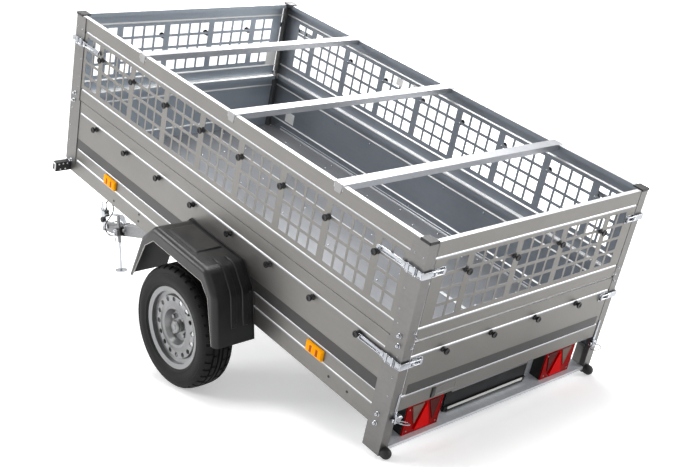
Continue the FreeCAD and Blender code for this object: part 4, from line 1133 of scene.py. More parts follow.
@dataclass
class PostHardware(Maker):
    """Dome nuts and rivets on the corner posts, the caps' lips, and the tailgate's hinge straps and ring clips."""

    bolts: Line = ((0.036, -0.388), (0.031, -0.427), (0.050, -0.739), (0.051, -0.780))
    front_above: float = -0.745
    rivets: Line = (
        (0.015, -0.060), (0.058, -0.060), (0.066, -0.205), (0.066, -0.290), (0.058, -0.345), (0.022, -0.470),
        (0.022, -0.560), (0.022, -0.640),
    )
    end_nuts: Line = ((0.612, -0.364), (0.600, -0.392), (0.612, -0.428))
    nut_line: Line = (
        (0.0, -0.0005), (0.0105, -0.0005), (0.0105, 0.0012), (0.0088, 0.0024), (0.0078, 0.0026), (0.0078, 0.0080),
        (0.0066, 0.0104), (0.0048, 0.0124), (0.0024, 0.0136), (0.0, 0.0140),
    )
    pin_line: Line = (
        (0.0, -0.026), (0.0040, -0.026), (0.0052, -0.0245), (0.0052, 0.022), (0.0082, 0.0225), (0.0082, 0.0265),
        (0.0058, 0.028), (0.0, 0.028),
    )

    def build(self) -> None:
        """Place the nuts, the lips and the clips on both sides."""
        nut = Bench.lathe("dome_nut", self.nut_line)
        for side in SIDES:
            face, turn = side * POST_FACE, outward(side)
            places = [spot(x, face, z, turn) for x, z in self.bolts]
            places += [spot(BED_LENGTH - x, face, z, turn) for x, z in self.bolts if z > self.front_above]
            for end, way in ((0.0, QUARTER), (BED_LENGTH, -QUARTER)):
                places += [spot(end, side * y, z, way, 0.6) for y, z in self.end_nuts]
            places += [spot(along, face, z, turn, 0.30) for x, z in self.rivets for along in (x, BED_LENGTH - x)]
            self.fit(Bench.copies(nut, f"post_nuts_{side_word(side)}", places, keep=True), Slot.ZINC, "zinc")
            self.cap_seals(side)
            self.hinge(side)
        bpy.data.objects.remove(nut)

    def cap_seals(self, side: int) -> None:
        """Model the black lips round the outer edges of a side's post caps."""
        low, high, rim = -0.0040, 0.0072, side * 0.6492
        lips = []
        for end, way in ((0.0, 1), (BED_LENGTH, -1)):
            ahead = end - way * 0.0022
            for across, reach in ((side * 0.6465, way * 0.0480), (side * 0.6020, way * 0.0004)):
                lip = Bench.block("cap_seal", (ahead, across, low), (end + reach, rim, high))
                lips.append(Bench.soften(lip, 0.0008))
        self.fit(Bench.joined(f"cap_seals_{side_word(side)}", lips), Slot.BLACK_RUBBER, "rubber")

    def hinge(self, side: int) -> None:
        """Model the hinge strap, and the ring clip with its pin, at a lower corner of the tailgate."""
        across, middle = side * 0.603, side * 0.6090
        strap = Bench.block(
            f"hinge_strap_{side_word(side)}", (-0.0035, middle - 0.0080, -0.730), (0.0004, middle + 0.0080, -0.628)
        )
        Bench.work(strap, "+z")
        Bench.swell((1, 0.55, 1), (0, middle, 0))
        Bench.work(strap, "-x", (0.0026, 0.0009))
        self.fit(Bench.finish(strap, 0.0010), Slot.ZINC, "zinc")
        clip = Bench.block("hinge_clip", (-0.0165, across - 0.0165, -0.752), (0.0004, across + 0.0165, -0.722))
        Bench.work(clip, "-x", (0.0045, 0.0030))
        Bench.work(clip, "-z", (0.0, 0.0, -0.0060))
        Bench.swell((0.5, 0.6, 1), (-0.004, across, 0))
        Bench.finish(clip, 0.0018)
        pin = Bench.lathe("hinge_clip_pin", self.pin_line, (-0.009, across, -0.737))
        hoop = Bench.ring(
            "hinge_clip_ring", (-0.034, across - side * 0.014, -0.744), 0.0235, 0.0040, (0.25 * side, 0.3, 0)
        )
        self.fit(Bench.joined(f"hinge_clip_{side_word(side)}", [clip, pin, hoop]), Slot.ZINC, "zinc")


@dataclass
class FloorDetail(Maker):
    """Rivets of the floor and the walls, the floor's seams, and the lips where the side boards meet it; the lips' and
    seams' bright colour paints highlights.
    """

    top: float = -0.710
    wall: float = 0.6426
    rivet_line: Line = (
        (0.0, -0.0003), (0.0052, -0.0003), (0.0050, 0.0009), (0.0038, 0.0020), (0.0020, 0.0026), (0.0, 0.0028),
    )
    rivet_rows: tuple[float, ...] = (0.075, 0.42, 0.77, 1.115, 1.46, 1.805, 2.15, 2.355)
    wall_rows: tuple[tuple[float, int, float], ...] = ((MESH_ROW, 8, 0.0), (BOARD_ROW, 8, 0.0), (-0.678, 9, 0.085))
    # Strips along the walls whose bright colour paints the highlights on the floor's edge, a bead and the mesh panel's
    # lower edge.
    lips: tuple[tuple[str, float, float, float], ...] = (
        ("floor_lip_highlight", -0.7098, -0.7010, 0.0040), ("floor_bead_highlight", -0.6925, -0.6885, 0.0016),
        ("seam_lip_highlight", -0.4075, -0.4010, 0.0034),
    )

    def build(self) -> None:
        """Lay the rivets, seams and lips."""
        rivet = Bench.lathe("floor_rivet", self.rivet_line, (0, 0, 0), 10, 35)
        spots = [(x, -0.56 + 0.14 * step) for x in self.rivet_rows for step in range(9)]
        spots += [(0.17 + ROW_PITCH * step, side * 0.616) for step in range(9) for side in SIDES]
        up = Matrix.Rotation(QUARTER, 4, "X")
        places = [Matrix.Translation((x, y, self.top)) @ up for x, y in spots]
        self.fit(Bench.copies(rivet, "floor_rivets", places, keep=True), Slot.ZINC, "zinc")
        places = [
            spot(ROW_START + ROW_PITCH * step - back, side * self.wall, level, outward(-side), 1.15)
            for side in SIDES
            for level, count, back in self.wall_rows
            for step in range(count)
        ]
        self.fit(Bench.copies(rivet, "wall_rivets", places), Slot.ZINC, "zinc")
        # The seams' bright colour paints highlights along them.
        seams = [
            Bench.panel(
                "floor_seam", (0.032, across - 0.009, self.top - 0.0004), (2.372, across + 0.009, self.top + 0.0012),
                "+z", ((0.0022, 0.0), (0, 0, 0.0006)), 0.0004, 1,
            )
            for across in (-0.21, 0.21)
        ]
        self.fit(Bench.joined("floor_seams", seams), Slot.GALVANISED, "flange")
        for side in SIDES:
            for name, low, high, proud in self.lips:
                face = side * (self.wall - proud)
                lip = Bench.panel(
                    f"{name}_{side_word(side)}", (0.094, side * self.wall, low), (2.31, face, high),
                    facing(-side), ((0.0012, 0.0), (0, -side * 0.0008, 0)), 0.0003, 1,
                )
                self.fit(lip, Slot.GALVANISED, "flange")


@dataclass
class Labels(Maker):
    """Blank stickers on the inner faces, each with a pale border."""

    places: tuple[tuple[str, Body, str, Point, Point], ...] = (
        ("door_label", Body.FRONT_DOOR, "-x", (2.4012, -0.594, -0.348), (2.4030, -0.530, -0.262)),
        ("wall_label", Body.BED, "+y", (2.211, -0.6427, -0.646), (2.284, -0.6410, -0.586)),
        ("mesh_label_front", Body.BED, "+y", (1.463, -0.6427, -0.123), (1.507, -0.6410, -0.086)),
        ("mesh_label_rear", Body.BED, "+y", (1.350, -0.6427, -0.104), (1.391, -0.6410, -0.080)),
    )

    def build(self) -> None:
        """Lay the labels."""
        for name, body, way, low, high in self.places:
            label = Bench.panel(name, low, high, way, ((0.005, -0.0002),), 0.0002, 1)
            self.fit(label, Slot.BLACK_PLASTIC, "label", body)


@dataclass
class BarTabs(Maker):
    """The folded tabs that close the crossbars' ends."""

    starts: tuple[float, ...] = (0.46, 1.132, 1.804)
    width: float = 0.050

    def build(self) -> None:
        """Model a tapering tab at each end of the three bars."""
        for side in SIDES:
            tabs = []
            for start in self.starts:
                low = (start + 0.001, side * 0.6438, -0.0325)
                tab = Bench.block("bar_tab", low, (start + self.width - 0.001, side * 0.6454, 0.0055))
                Bench.work(tab, "-z")
                Bench.swell((0.72, 1, 1), (start + self.width / 2, 0, 0))
                Bench.work(tab, facing(side), (0.0030, 0.0006))
                tabs.append(Bench.finish(tab, 0.0006))
            self.fit(Bench.joined(f"bar_tabs_{side_word(side)}", tabs), Slot.GALVANISED, "cap")


@dataclass
class PositionLamps(Maker):
    """The front position lamps: a moulded cover with a rounded nose, five studs behind and a glass at its end."""

    eye_line: Line = ((0.0, 0.0), (0.0085, 0.0), (0.0085, 0.0016), (0.0068, 0.0024), (0.0056, 0.0010), (0.0, 0.0010))
    eye_places: Line = ((0.662, -0.7585), (0.684, -0.7585), (0.706, -0.7600), (0.672, -0.7865), (0.698, -0.7865))

    def build(self) -> None:
        """Model the cover, the glass and the studs on both sides."""
        for side in SIDES:
            word, way = side_word(side), facing(side)
            low, high = (2.3585, side * 0.6475, -0.7965), (2.3880, side * 0.7235, -0.7485)
            cover = Bench.block(f"position_cover_{word}", low, high)
            Bench.work(cover, way, (0.0060, 0.0), (0, side * 0.0060, 0))
            Bench.swell((0.75, 1, 0.75), (2.3735, 0, -0.7725))
            Bench.pick(cover, lambda centre, normal: normal.x < -0.9 or normal.z > 0.9)
            Bench.inset(0.0050, -0.0012, each=True)
            self.fit(Bench.finish(cover, 0.0030, 3), Slot.BLACK_PLASTIC, "plastic")
            eye = Bench.lathe("position_eye", self.eye_line, (0, 0, 0), 16, 35)
            places = [spot(2.3597, side * across, z, QUARTER, 0.45) for across, z in self.eye_places]
            self.fit(Bench.copies(eye, f"position_eyes_{word}", places), Slot.ZINC, "clear")
            low, high = (2.3610, side * 0.7170, -0.7920), (2.3870, side * 0.7262, -0.7530)
            glass = Bench.panel(f"position_glass_{word}", low, high, way, ((0.0040, 0.0015),), 0.0030, 3)
            self.fit(glass, Slot.CLEAR, "clear")


@dataclass
class GateDetail(Maker):
    """The vent strip and the pressed field on the tailgate."""

    eye_line: Line = (
        (0.0018, 0.0), (0.0040, 0.0), (0.0040, 0.0008), (0.0034, 0.0014), (0.0024, 0.0012), (0.0018, 0.0),
    )
    body: ClassVar[Body] = Body.TAILGATE

    def build(self) -> None:
        """Model the strip with its four eyes, and the field beside it."""
        low, high = (-0.0035, 0.412, -0.702), (0.0002, 0.431, -0.658)
        strip = Bench.panel("gate_vent", low, high, "-x", ((0.0018, 0.0008),), 0.0008)
        self.fit(strip, Slot.BLACK_PLASTIC, "gloss")
        eye = Bench.lathe("gate_vent_eye", self.eye_line, (0, 0, 0), 14, 35)
        places = [spot(-0.0026, 0.4215, -0.6650 - 0.010 * step, QUARTER) for step in range(4)]
        self.fit(Bench.copies(eye, "gate_vent_eyes", places), Slot.ZINC, "rubber")
        low, high = (-0.0016, 0.296, -0.700), (0.0004, 0.408, -0.660)
        pressed = Bench.panel("gate_field", low, high, "-x", ((0.0030, 0.0), (0.0012, -0.0012)), 0.0005)
        self.fit(pressed, Slot.GALVANISED, "post")


@dataclass
class LampDetail(Maker):
    """The rear lenses with their fields and screws, the plate holder's trim, and the side markers."""

    centre: float = 0.4160
    front: float = 0.0200
    proud: float = 0.0165
    marker_starts: tuple[float, float] = (0.38, 1.93)
    bar_starts: tuple[float, float] = (0.025, 0.062)
    screw_line: Line = ((0.0, 0.0), (0.0032, 0.0), (0.0032, 0.0008), (0.0022, 0.0018), (0.0010, 0.0018), (0.0, 0.0010))
    screw_places: Line = ((-0.080, -0.853), (0.080, -0.853), (0.086, -0.751))
    trims: tuple[tuple[str, Slot, str, Point, Point, Step, float], ...] = (
        ("plate_trim", Slot.GALVANISED, "silver", (0.0505, -0.232, -0.7745), (0.0545, 0.232, -0.7630),
         (0.0022, 0.0012), 0.0006),
        ("plate_ledge", Slot.BLACK_PLASTIC, "plastic", (0.0490, -0.236, -0.8690), (0.0545, 0.236, -0.8610),
         (0.0018, 0.0010), 0.0008),
        ("plate_strip", Slot.GALVANISED, "label", (0.0518, -0.230, -0.8600), (0.0545, 0.230, -0.8480),
         (0.0020, 0.0006), 0.0006),
    )

    def wedge(self, name: str, middle: float, half: float, low: float, high: float, skew: float, point: str) -> Piece:
        """Model a sunk triangular field on a lens's face.

        Args:
            name: Name of the piece.
            middle: Where the broad edge's middle is, across.
            half: Half the broad edge.
            low: Lowest level.
            high: Highest level.
            skew: How far the point lies to the side of the middle.
            point: The way the point looks, "+z" or "-z".

        Returns:
            The field.
        """
        depth = self.proud if point == "+z" else self.front
        piece = Bench.block(name, (depth - 0.0004, middle - half, low), (depth + 0.0030, middle + half, high))
        Bench.work(piece, point)
        Bench.swell((1, 0.05, 1), (0, middle, 0))
        Bench.shift((0, skew, 0))
        Bench.work(piece, "-x", (0.0028, 0.0), (0.0008, -0.0008))
        return Bench.soften(Bench.done(piece, 20), 0.0003, 1)

    def build(self) -> None:
        """Model both lamps, the markers and the trims."""
        lenses = [
            Bench.panel(
                "lens", (0.0215, middle - 0.0975, -0.8707), (0.0279, middle + 0.0975, -0.7327), "-x",
                ((0.0040, 0.0), (0.0010, -0.0014)), 0.0010,
            )
            for middle in (self.centre, -self.centre)
        ]
        self.fit(Bench.joined("rear_lens_pair", lenses), Slot.RED, "red", node="rear_lenses")
        markers = [
            Bench.panel(
                "marker", (start, side * SIDE_FACE, -0.714), (start + 0.100, side * 0.6545, -0.668), facing(side),
                ((0.0040, 0.0), (0, side * 0.0030, 0), (0.0060, 0.0005)), 0.0040, 3,
            )
            for start in self.marker_starts
            for side in SIDES
        ]
        self.fit(Bench.joined("marker_lenses", markers), Slot.AMBER, "amber", node="side_markers")
        for side in SIDES:
            self.lamp(side)
            self.marker_bars(side)
        for name, slot, finish, low, high, step, width in self.trims:
            self.fit(Bench.panel(name, low, high, "-x", (step,), width), slot, finish)

    def lamp(self, side: int) -> None:
        """Model the three fields and the screws of a side's lamp."""
        word, middle = side_word(side), side * self.centre
        for name, slot, finish, across, half, low, high, skew, point in (
            ("lens_outer", Slot.CLEAR, "smoke", side * 0.040, 0.032, -0.826, -0.7395, side * 0.004, "-z"),
            ("lens_inner", Slot.CLEAR, "dusk", -side * 0.052, 0.032, -0.836, -0.7395, -side * 0.008, "-z"),
            ("reflector", Slot.RED, "red_bright", -side * 0.004, 0.043, -0.8590, -0.7470, 0.0, "+z"),
        ):
            field = self.wedge(f"{name}_{word}", middle + across, half, low, high, skew, point)
            self.fit(field, slot, finish)
        screw = Bench.lathe("lens_screw", self.screw_line, (0, 0, 0), 12, 35)
        places = [spot(self.front + 0.0004, middle + y, z, QUARTER) for y, z in self.screw_places]
        self.fit(Bench.copies(screw, f"lens_screws_{word}", places), Slot.ZINC, "silver")

    def marker_bars(self, side: int) -> None:
        """Model the darker bars inside a side's markers."""
        bars = [
            Bench.panel(
                "marker_bar", (start + across, side * 0.6570, -0.7060),
                (start + across + 0.012, side * 0.6588, -0.6760),
                facing(side), ((0.0016, 0.0), (0, side * 0.0006, 0)), 0.0005, 1,
            )
            for start in self.marker_starts
            for across in self.bar_starts
        ]
        self.fit(Bench.joined(f"marker_bars_{side_word(side)}", bars), Slot.AMBER, "amber_deep")


@dataclass
class Mudguards(Maker):
    """Moulded mudguards with a raised field on the crown, ribs on the rear slope, a pale edge strip that paints the
    highlight along the opening, and a gasket.
    """

    outer: float = 0.8420
    inner: float = 0.6444
    wall: float = 0.0032
    fold: float = 0.022
    crown: Line = (
        (-0.333, 0.0965), (-0.275, 0.310), (-0.195, 0.3965), (0.195, 0.3965), (0.275, 0.310), (0.333, 0.0965),
    )
    opening: Line = (
        (-0.305, 0.0965), (-0.236, 0.285), (-0.1795, 0.335), (0.1795, 0.335), (0.236, 0.285), (0.305, 0.0965),
    )
    slope: Line = ((-0.128, 0.3965), (-0.195, 0.3965), (-0.275, 0.310), (-0.314, 0.166))
    rib_places: tuple[float, float] = (0.672, 0.731)
    plug_line: Line = (
        (0.0, -0.0004), (0.0058, -0.0004), (0.0058, 0.0008), (0.0046, 0.0016), (0.0030, 0.0012), (0.0, 0.0012),
    )
    plug_places: Line = ((0.225, -0.755), (0.335, -0.755), (1.720, -0.735), (1.720, -0.770), (1.940, -0.770))

    @staticmethod
    def seated(points: Line, across: float) -> list[Point]:
        """Place (x, z) points about the wheel's axis in the bed seat."""
        return [(x + REAR_TO_AXIS, across, z - RIM_TO_AXIS) for x, z in points]

    def arch(self) -> Piece:
        """Model the left arch: the crown's sheet, the outer cheek and the raised field."""
        roof = Bench.band("guard_roof", self.seated(self.crown, self.outer), self.inner - self.outer)
        outline = self.seated([*self.crown, *reversed(self.opening)], self.outer)
        cheek = Bench.thread("guard_cheek", outline, closed=True)
        bpy.ops.object.mode_set(mode="OBJECT")
        arch = Bench.joined("guard_arch", [roof, cheek])
        Bench.soften(Bench.done(arch, 20), self.fold, 6, 14)
        level = self.crown[2][1] - RIM_TO_AXIS
        Bench.pick(arch, lambda centre, normal: normal.z > 0.999 and abs(centre.z - level) < 1e-4)
        Bench.inset(0.022)
        Bench.swell((0.72, 1, 1), (REAR_TO_AXIS + 0.150, 0, 0))
        Bench.inset(0.0080, 0.0045)
        return Bench.done(Bench.walled(arch, self.wall, -1))

    def strip(self, name: str, points: Sequence[Point], width: float, thickness: float, fold: float = 0.0) -> Piece:
        """Model a bent strip.

        Args:
            name: Name of the piece.
            points: The points it runs through.
            width: Its width, across.
            thickness: Its thickness.
            fold: Width of its rounded folds, if it has them.

        Returns:
            The strip.
        """
        piece = Bench.band(name, points, width)
        if fold:
            Bench.soften(piece, fold, 5, 14)
        return Bench.soften(Bench.done(Bench.walled(piece, thickness, 0)), thickness * 0.3, 1, 50)

    def build(self) -> None:
        """Model the left mudguard and its small parts, and mirror them to the right."""
        grown = [(x * 1.006, z + 0.003) for x, z in self.crown]
        # The pale strip along the opening paints its edge's highlight.
        rim = self.strip("guard_edge_left", self.seated(self.opening, self.outer - 0.0040), 0.0046, 0.0024)
        seal = self.strip("guard_seal_left", self.seated(grown, self.inner), 0.0050, 0.0042)
        arch = self.arch()
        ribs = [self.strip("guard_rib", self.seated(self.slope, y), 0.032, 0.0110, self.fold) for y in self.rib_places]
        shell = Bench.joined("mudguard_shell_left", [arch, *ribs])
        plug = Bench.lathe("skirt_plug", self.plug_line, (0, 0, 0), 14, 35)
        plugs = Bench.copies(plug, "skirt_plugs_left", [spot(x, SIDE_FACE, z) for x, z in self.plug_places])
        for piece, slot, finish, node in (
            (shell, Slot.BLACK_PLASTIC, "plastic", "mudguard_"), (rim, Slot.BLACK_PLASTIC, "edge", ""),
            (seal, Slot.BLACK_RUBBER, "rubber", ""), (plugs, Slot.BLACK_RUBBER, "rubber", ""),
        ):
            other = Bench.twin(piece, piece.name.replace("left", "right"), Matrix.Scale(-1, 4, (0, 1, 0)))
            for each, word in ((piece, "left"), (other, "right")):
                self.fit(each, slot, finish, node=node and node + word)


@dataclass
class Latches(Maker):
    """Over-centre latches round the bed's corners, and the catches on the doors."""

    low: float = -0.497
    high: float = -0.122
    face: float = 0.6473
    blocks: tuple[tuple[float, float, float, float], ...] = (
        (0.022, 0.078, 0.0158, 0.0110), (0.082, 0.100, 0.0135, 0.0080), (-0.0040, 0.020, 0.0142, 0.0090),
    )
    pins: Line = ((0.034, 0.0120), (0.066, 0.0130))
    rivets: Line = ((0.543, -0.0115), (0.543, 0.0115), (0.590, 0.0))

    def lever(self) -> Piece:
        """Model the left rear latch about z = 0: slotted handle, pivot blocks, pins, corner strap and screw."""
        face = self.face
        handle = Bench.block("latch_handle", (0.070, face, -0.0110), (0.222, face + 0.0062, 0.0110))
        Bench.work(handle, "+x", (0.006, 0.005, 0))
        Bench.swell((1, 1, 0.7), (0.228, face, 0))
        Bench.pick(handle, lambda centre, normal: normal.y > 0.9 and centre.x < 0.2)
        Bench.inset(0.0045)
        bpy.ops.mesh.extrude_region_move(TRANSFORM_OT_translate={"value": (0, -0.0052, 0)})
        parts = [Bench.finish(handle, 0.0012)]
        for start, end, top, depth in self.blocks:
            low, high = (start, face, -top), (end, face + depth, top)
            parts.append(Bench.panel("latch_block", low, high, "+y", ((0.0050, -0.0035),), 0.0014))
        for x, reach in self.pins:
            pin = Bench.barrel("latch_pin", (x, face + 0.0085, 0), 0.0036, 2 * reach + 0.006, "z", 14)
            parts.append(Bench.soften(pin, 0.0010))
            for end in (-reach - 0.003, reach + 0.003):
                parts.append(Bench.ball("latch_pin_head", (x, face + 0.0085, end), 0.0044, 12, 8))
        low, high = (-0.0100, 0.585, -0.0135), (-0.0040, face + 0.0088, 0.0135)
        parts.append(Bench.panel("latch_wrap", low, high, "-x", ((0.0042, -0.0022),), 0.0016))
        for z in (-0.0090, 0.0090):
            parts.append(Bench.soften(Bench.barrel("latch_rod", (-0.0082, 0.578, z), 0.0026, 0.060, "y", 12), 0.0008))
        parts.append(Bench.soften(Bench.barrel("latch_nut", (-0.0082, 0.592, 0.0), 0.0072, 0.0110), 0.0008))
        return Bench.joined("latch", parts)

    def catch(self) -> Piece:
        """Model the left rear catch about z = 0: a plate with a sunk field, a hooked keeper and rivets."""
        low, high = (-0.0030, 0.5385, -0.0175), (0.0002, 0.5960, 0.0175)
        parts = [Bench.panel("catch_plate", low, high, "-x", ((0.0030, -0.0008),), 0.0008)]
        hook = Bench.block("catch_hook", (-0.0112, 0.546, -0.0128), (-0.0024, 0.5560, 0.0128))
        Bench.work(hook, "-x")
        Bench.shift((0, -0.003, 0))
        Bench.inset(0.0020, 0.0010)
        parts.append(Bench.finish(hook, 0.0016))
        parts += [Bench.ball("catch_rivet", (-0.0030, y, z), 0.0032, 10, 6) for y, z in self.rivets]
        return Bench.joined("catch", parts)

    def build(self) -> None:
        """Copy the latch and the catch to their corners."""
        lever, catch = self.lever(), self.catch()
        mirror = Matrix.Scale(-1, 4, (0, 1, 0))
        ahead = Matrix.Translation((BED_LENGTH, 0, 0)) @ Matrix.Scale(-1, 4, (1, 0, 0))
        corners = [
            Matrix.Translation((0, 0, level)) @ end @ way
            for level, end in ((self.low, GROUND), (self.high, GROUND), (self.high, ahead))
            for way in (GROUND, mirror)
        ]
        self.fit(Bench.copies(lever, "corner_latches", corners), Slot.ZINC, "zinc", node="latches")
        for name, node, body, places in (
            ("gate_catches", "tailgate_catches", Body.TAILGATE, corners[:2]),
            ("rear_door_catches", "rear_mesh_catches", Body.REAR_DOOR, corners[2:4]),
            ("front_door_catches", "front_mesh_catches", Body.FRONT_DOOR, corners[4:]),
        ):
            self.fit(Bench.copies(catch, name, places, keep=True), Slot.ZINC, "zinc", body, node)
        bpy.data.objects.remove(catch)


@dataclass
class Coupling(Maker):
    """The pressed ball coupling with its lever, the plug's holder and the leg clamp's spindle."""

    half: float = 0.0343
    neck_steps: tuple[tuple[float, float, float, float], ...] = (
        (0.040, 0.86, -0.003, 0.92), (0.050, 0.90, 0.004, 0.92), (0.035, 1.04, 0.006, 0.95),
    )
    dome: Line = (
        (0.0255, -0.010), (0.0330, -0.010), (0.0345, -0.006), (0.0345, 0.012), (0.0325, 0.022), (0.0270, 0.032),
        (0.0180, 0.039), (0.0090, 0.0420), (0.0, 0.0428), (0.0, 0.0385), (0.0120, 0.0370), (0.0225, 0.0290),
        (0.0260, 0.0150), (0.0255, -0.010),
    )
    lever_steps: tuple[Point, ...] = ((0.044, 0, 0.036), (0.020, 0, 0.006), (0.070, 0, 0.004), (0.010, 0, -0.003))
    socket_line: Line = ((0.0, 0.0), (0.0150, 0.0), (0.0165, 0.0020), (0.0165, 0.0130), (0.0140, 0.0170), (0.0, 0.0180))
    spindle_line: Line = (
        (0.0, 0.0), (0.0055, 0.0), (0.0055, 0.014), (0.0085, 0.0145), (0.0085, 0.0220), (0.0060, 0.024), (0.0, 0.0245),
    )
    seat: ClassVar[Matrix] = DRAWBAR_SEAT
    body: ClassVar[Body] = Body.DRAWBAR

    def head(self) -> Piece:
        """Model the pressed head: a tapering neck, the socket's dome, four nuts, the cable's clip and its lug."""
        half = self.half
        neck = Bench.block("coupling_neck", (1.532, -half, -0.024), (1.652, half, 0.0345))
        for ahead, narrow, drop, tall in self.neck_steps:
            Bench.work(neck, "+x", (ahead, 0, drop))
            Bench.swell((1, narrow, tall), (0, 0, 0.004))
        Bench.pick(neck, lambda centre, normal: normal.z > 0.9 and centre.x < 1.66)
        Bench.inset(0.012, 0.0030)
        cup = Bench.lathe("coupling_dome", self.dome, (0, 0, 0), 32, 30)
        cup.data.transform(Matrix.Translation((BALL_REACH, 0, 0.0)) @ Matrix.Rotation(QUARTER, 4, "X"))
        nut = Bench.barrel("coupling_nut", (0, 0.0042, 0), 0.0108, 0.0084)
        Bench.work(nut, "+y", (0.0014, 0.0), (0, 0.0010, 0), (0.0030, 0.0), (0, 0.0020, 0))
        Bench.finish(nut, 0.0006)
        places = [spot(along, side * half, 0.006, outward(side)) for along in (1.542, 1.630) for side in SIDES]
        parts = [Bench.soften(Bench.done(neck), 0.0065, 4, 25), cup, Bench.copies(nut, "coupling_nuts", places)]
        for name, low, high in (
            ("cable_clip", (1.606, half - 0.001, -0.030), (1.622, half + 0.0135, -0.016)),
            ("breakaway_lug", (1.650, 0.014, -0.041), (1.668, 0.022, -0.016)),
        ):
            parts.append(Bench.panel(name, low, high, "+y", ((0.0025, 0.0010),), 0.0015))
        return Bench.joined("coupling_shell", parts)

    def lever(self) -> Piece:
        """Model the lever: a bent plate, its ring, and the latch's strap."""
        plate = Bench.block("lever_plate", (1.556, -0.020, 0.0400), (1.572, 0.020, 0.0440))
        for step in self.lever_steps:
            Bench.pick(plate, lambda centre, normal: normal.x > 0.8)
            bpy.ops.mesh.extrude_region_move(TRANSFORM_OT_translate={"value": step})
            if step[0] > 0.06:
                Bench.swell((1, 1.12, 1), (0, 0, 0.086))
        Bench.soften(Bench.done(plate, 40), 0.0012)
        hoop = Bench.ring("lever_ring", (1.676, 0, 0.0470), 0.0205, 0.0075, (0, 0.06, 0))
        low, high = (1.600, -0.008, 0.0385), (1.662, 0.008, 0.0440)
        strap = Bench.panel("lever_strap", low, high, "+z", ((0.0026, 0.0012),), 0.0012)
        return Bench.joined("coupling_lever", [plate, hoop, strap])

    def holder(self) -> Piece:
        """Model the upright holder beside the head, with its arm and the ring round the plug."""
        plate = Bench.block("holder_plate", (1.738, 0.0312, 0.004), (1.792, 0.0345, 0.100))
        Bench.work(plate, "+z", (0, 0, 0.060))
        Bench.swell((0.32, 1, 1), (1.764, 0, 0))
        bpy.ops.mesh.extrude_region_move(TRANSFORM_OT_translate={"value": (0, 0, 0.009)})
        Bench.pick(plate, lambda centre, normal: normal.y > 0.9 and centre.z < 0.1)
        Bench.inset(0.0060, -0.0010)
        Bench.finish(plate, 0.0010)
        low, high = (1.702, 0.0318, 0.0900), (1.745, 0.0345, 0.1040)
        arm = Bench.panel("holder_arm", low, high, "-x", ((0.0012, 0.0),), 0.0008)
        hoop = Bench.ring("holder_ring", (1.690, 0.051, 0.0975), 0.0165, 0.0052)
        return Bench.joined("plug_holder_plate", [plate, arm, hoop])

    def clamp(self) -> Piece:
        """Model the leg clamp's spindle and its grip."""
        spindle = Bench.lathe("clamp_spindle", self.spindle_line, (1.575, 0.0600, 0.010))
        grip = Bench.block("clamp_grip", (1.5705, 0.0790, -0.044), (1.5795, 0.0830, 0.016))
        Bench.work(grip, "-z")
        Bench.swell((1.5, 1, 1), (1.575, 0, 0))
        bpy.ops.mesh.extrude_region_move(TRANSFORM_OT_translate={"value": (0, 0.004, -0.012)})
        return Bench.joined("clamp_lever", [spindle, Bench.finish(grip, 0.0014)])

    def build(self) -> None:
        """Model the pieces and seat them on the drawbar."""
        self.fit(self.head(), Slot.ZINC, "frame", node="coupling_head")
        self.fit(self.lever(), Slot.ZINC, "zinc", node="coupling_handle")
        self.fit(self.holder(), Slot.ZINC, "zinc")
        cap = Bench.lathe("parking_socket", self.socket_line, (1.765, 0.0345, 0.060), 24)
        self.fit(cap, Slot.BLACK_RUBBER, "rubber")
        self.fit(self.clamp(), Slot.ZINC, "zinc")


# ---------------------------------------------------------------- studio


@dataclass(frozen=True)
class Softbox:
    """A square soft lamp that faces a point."""

    name: str
    place: Point
    size: float
    power: float
    aim: Point = (0.0, 0.0, 0.7)

    def hang(self) -> None:
        """Add the lamp."""
        data = bpy.data.lights.new(self.name, "AREA")
        data.shape = "SQUARE"
        data.size = self.size
        data.energy = self.power
        lamp = bpy.data.objects.new(self.name, data)
        lamp.location = self.place
        lamp.rotation_euler = (Vector(self.aim) - Vector(self.place)).to_track_quat("-Z", "Y").to_euler()
        lamp.visible_camera = False
        bpy.context.scene.collection.objects.link(lamp)


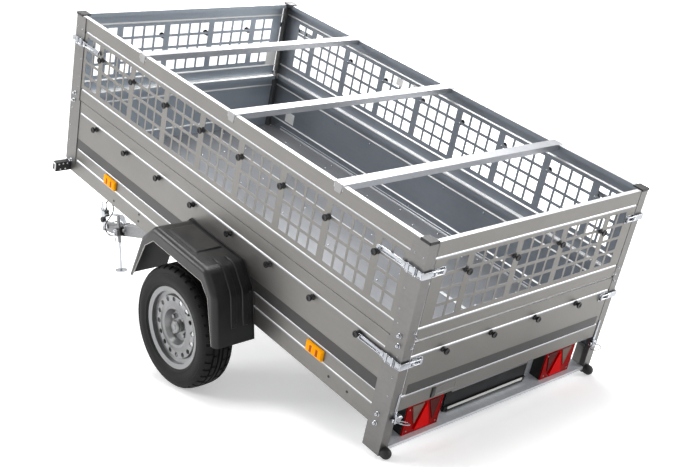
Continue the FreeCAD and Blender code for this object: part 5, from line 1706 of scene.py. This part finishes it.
@dataclass
class Studio:
    """A plain pale floor, a white surround, soft lamps and the camera."""

    floor_half: float = 40.0
    shade: float = 0.42
    camera_place: Point = (AXIS_X - 3.837682, 3.266576, 1.849933)
    camera_turn: Point = (75.4767, 0.10675, -132.18008)
    lens: float = 57.13273
    boxes: tuple[Softbox, ...] = (
        Softbox("overhead_box", (0.2, -0.2, 4.6), 3.4, 330.0),
        Softbox("front_right_box", (3.4, -4.4, 3.4), 2.6, 150.0),
        Softbox("front_left_box", (3.6, 4.4, 3.2), 2.6, 210.0),
        Softbox("rear_right_box", (-5.0, -4.6, 2.6), 2.4, 150.0),
    )

    def build(self) -> None:
        """Set the view, the surround, the floor, the lamps and the camera."""
        scene = bpy.context.scene
        scene.view_settings.view_transform = "Standard"
        self.surround(scene)
        self.floor()
        for box in self.boxes:
            box.hang()
        data = bpy.data.cameras.new("camera")
        data.lens = self.lens
        data.sensor_width = 36
        data.clip_end = 200
        camera = bpy.data.objects.new("camera", data)
        camera.location = self.camera_place
        camera.rotation_euler = Euler([math.radians(angle) for angle in self.camera_turn])
        scene.collection.objects.link(camera)
        scene.camera = camera

    def surround(self, scene: bpy.types.Scene) -> None:
        """Make a surround that shows white and lights softly."""
        scene.world = bpy.data.worlds.new("surround")
        scene.world.use_nodes = True
        graph = Graph(scene.world.node_tree)
        strength = graph.sums("ADD", graph.times(graph.seen(), 1 - self.shade), self.shade)
        graph.feed(graph.tree.nodes["Background"], {"Color": (1, 1, 1), "Strength": strength})

    def floor(self) -> None:
        """Lay the floor: pale, lifted to white where it is seen, with the shadow kept."""
        Bench.hold()
        bpy.ops.mesh.primitive_plane_add(size=2 * self.floor_half, location=(0, 0, -0.0005))
        floor = Bench.settle("studio_floor")
        material = bpy.data.materials.new("studio_floor")
        material.use_nodes = True
        graph = Graph(material.node_tree)
        place = graph.node("TexCoord", {}).outputs["Object"]
        reach = graph.node("VectorMath", {0: place}, operation="LENGTH").outputs["Value"]
        lift = graph.sums("ADD", graph.times(graph.spread(reach, 2.2, 5.0), 0.6), 0.42)
        graph.feed(graph.tree.nodes["Principled BSDF"], {
            "Base Color": (0.86, 0.86, 0.86), "Roughness": 0.9, "Specular IOR Level": 0.0,
            "Emission Color": (1, 1, 1), "Emission Strength": graph.times(graph.seen(), lift),
        })
        floor.data.materials.append(material)


def main() -> None:
    """Build the studio, lay the cords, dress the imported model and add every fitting."""
    logging.basicConfig(level=logging.INFO, format="%(name)s: %(message)s")
    Studio().build()
    finishes = Finishes()
    Cords(finishes).build()
    finishes.dress_nodes()
    for maker in (
        Stripes, TarpKnobs, Wheels, PostHardware, FloorDetail, Labels, BarTabs, PositionLamps, GateDetail, LampDetail,
        Mudguards, Latches, Coupling,
    ):
        maker(finishes).build()


if __name__ == "__main__":
    main()
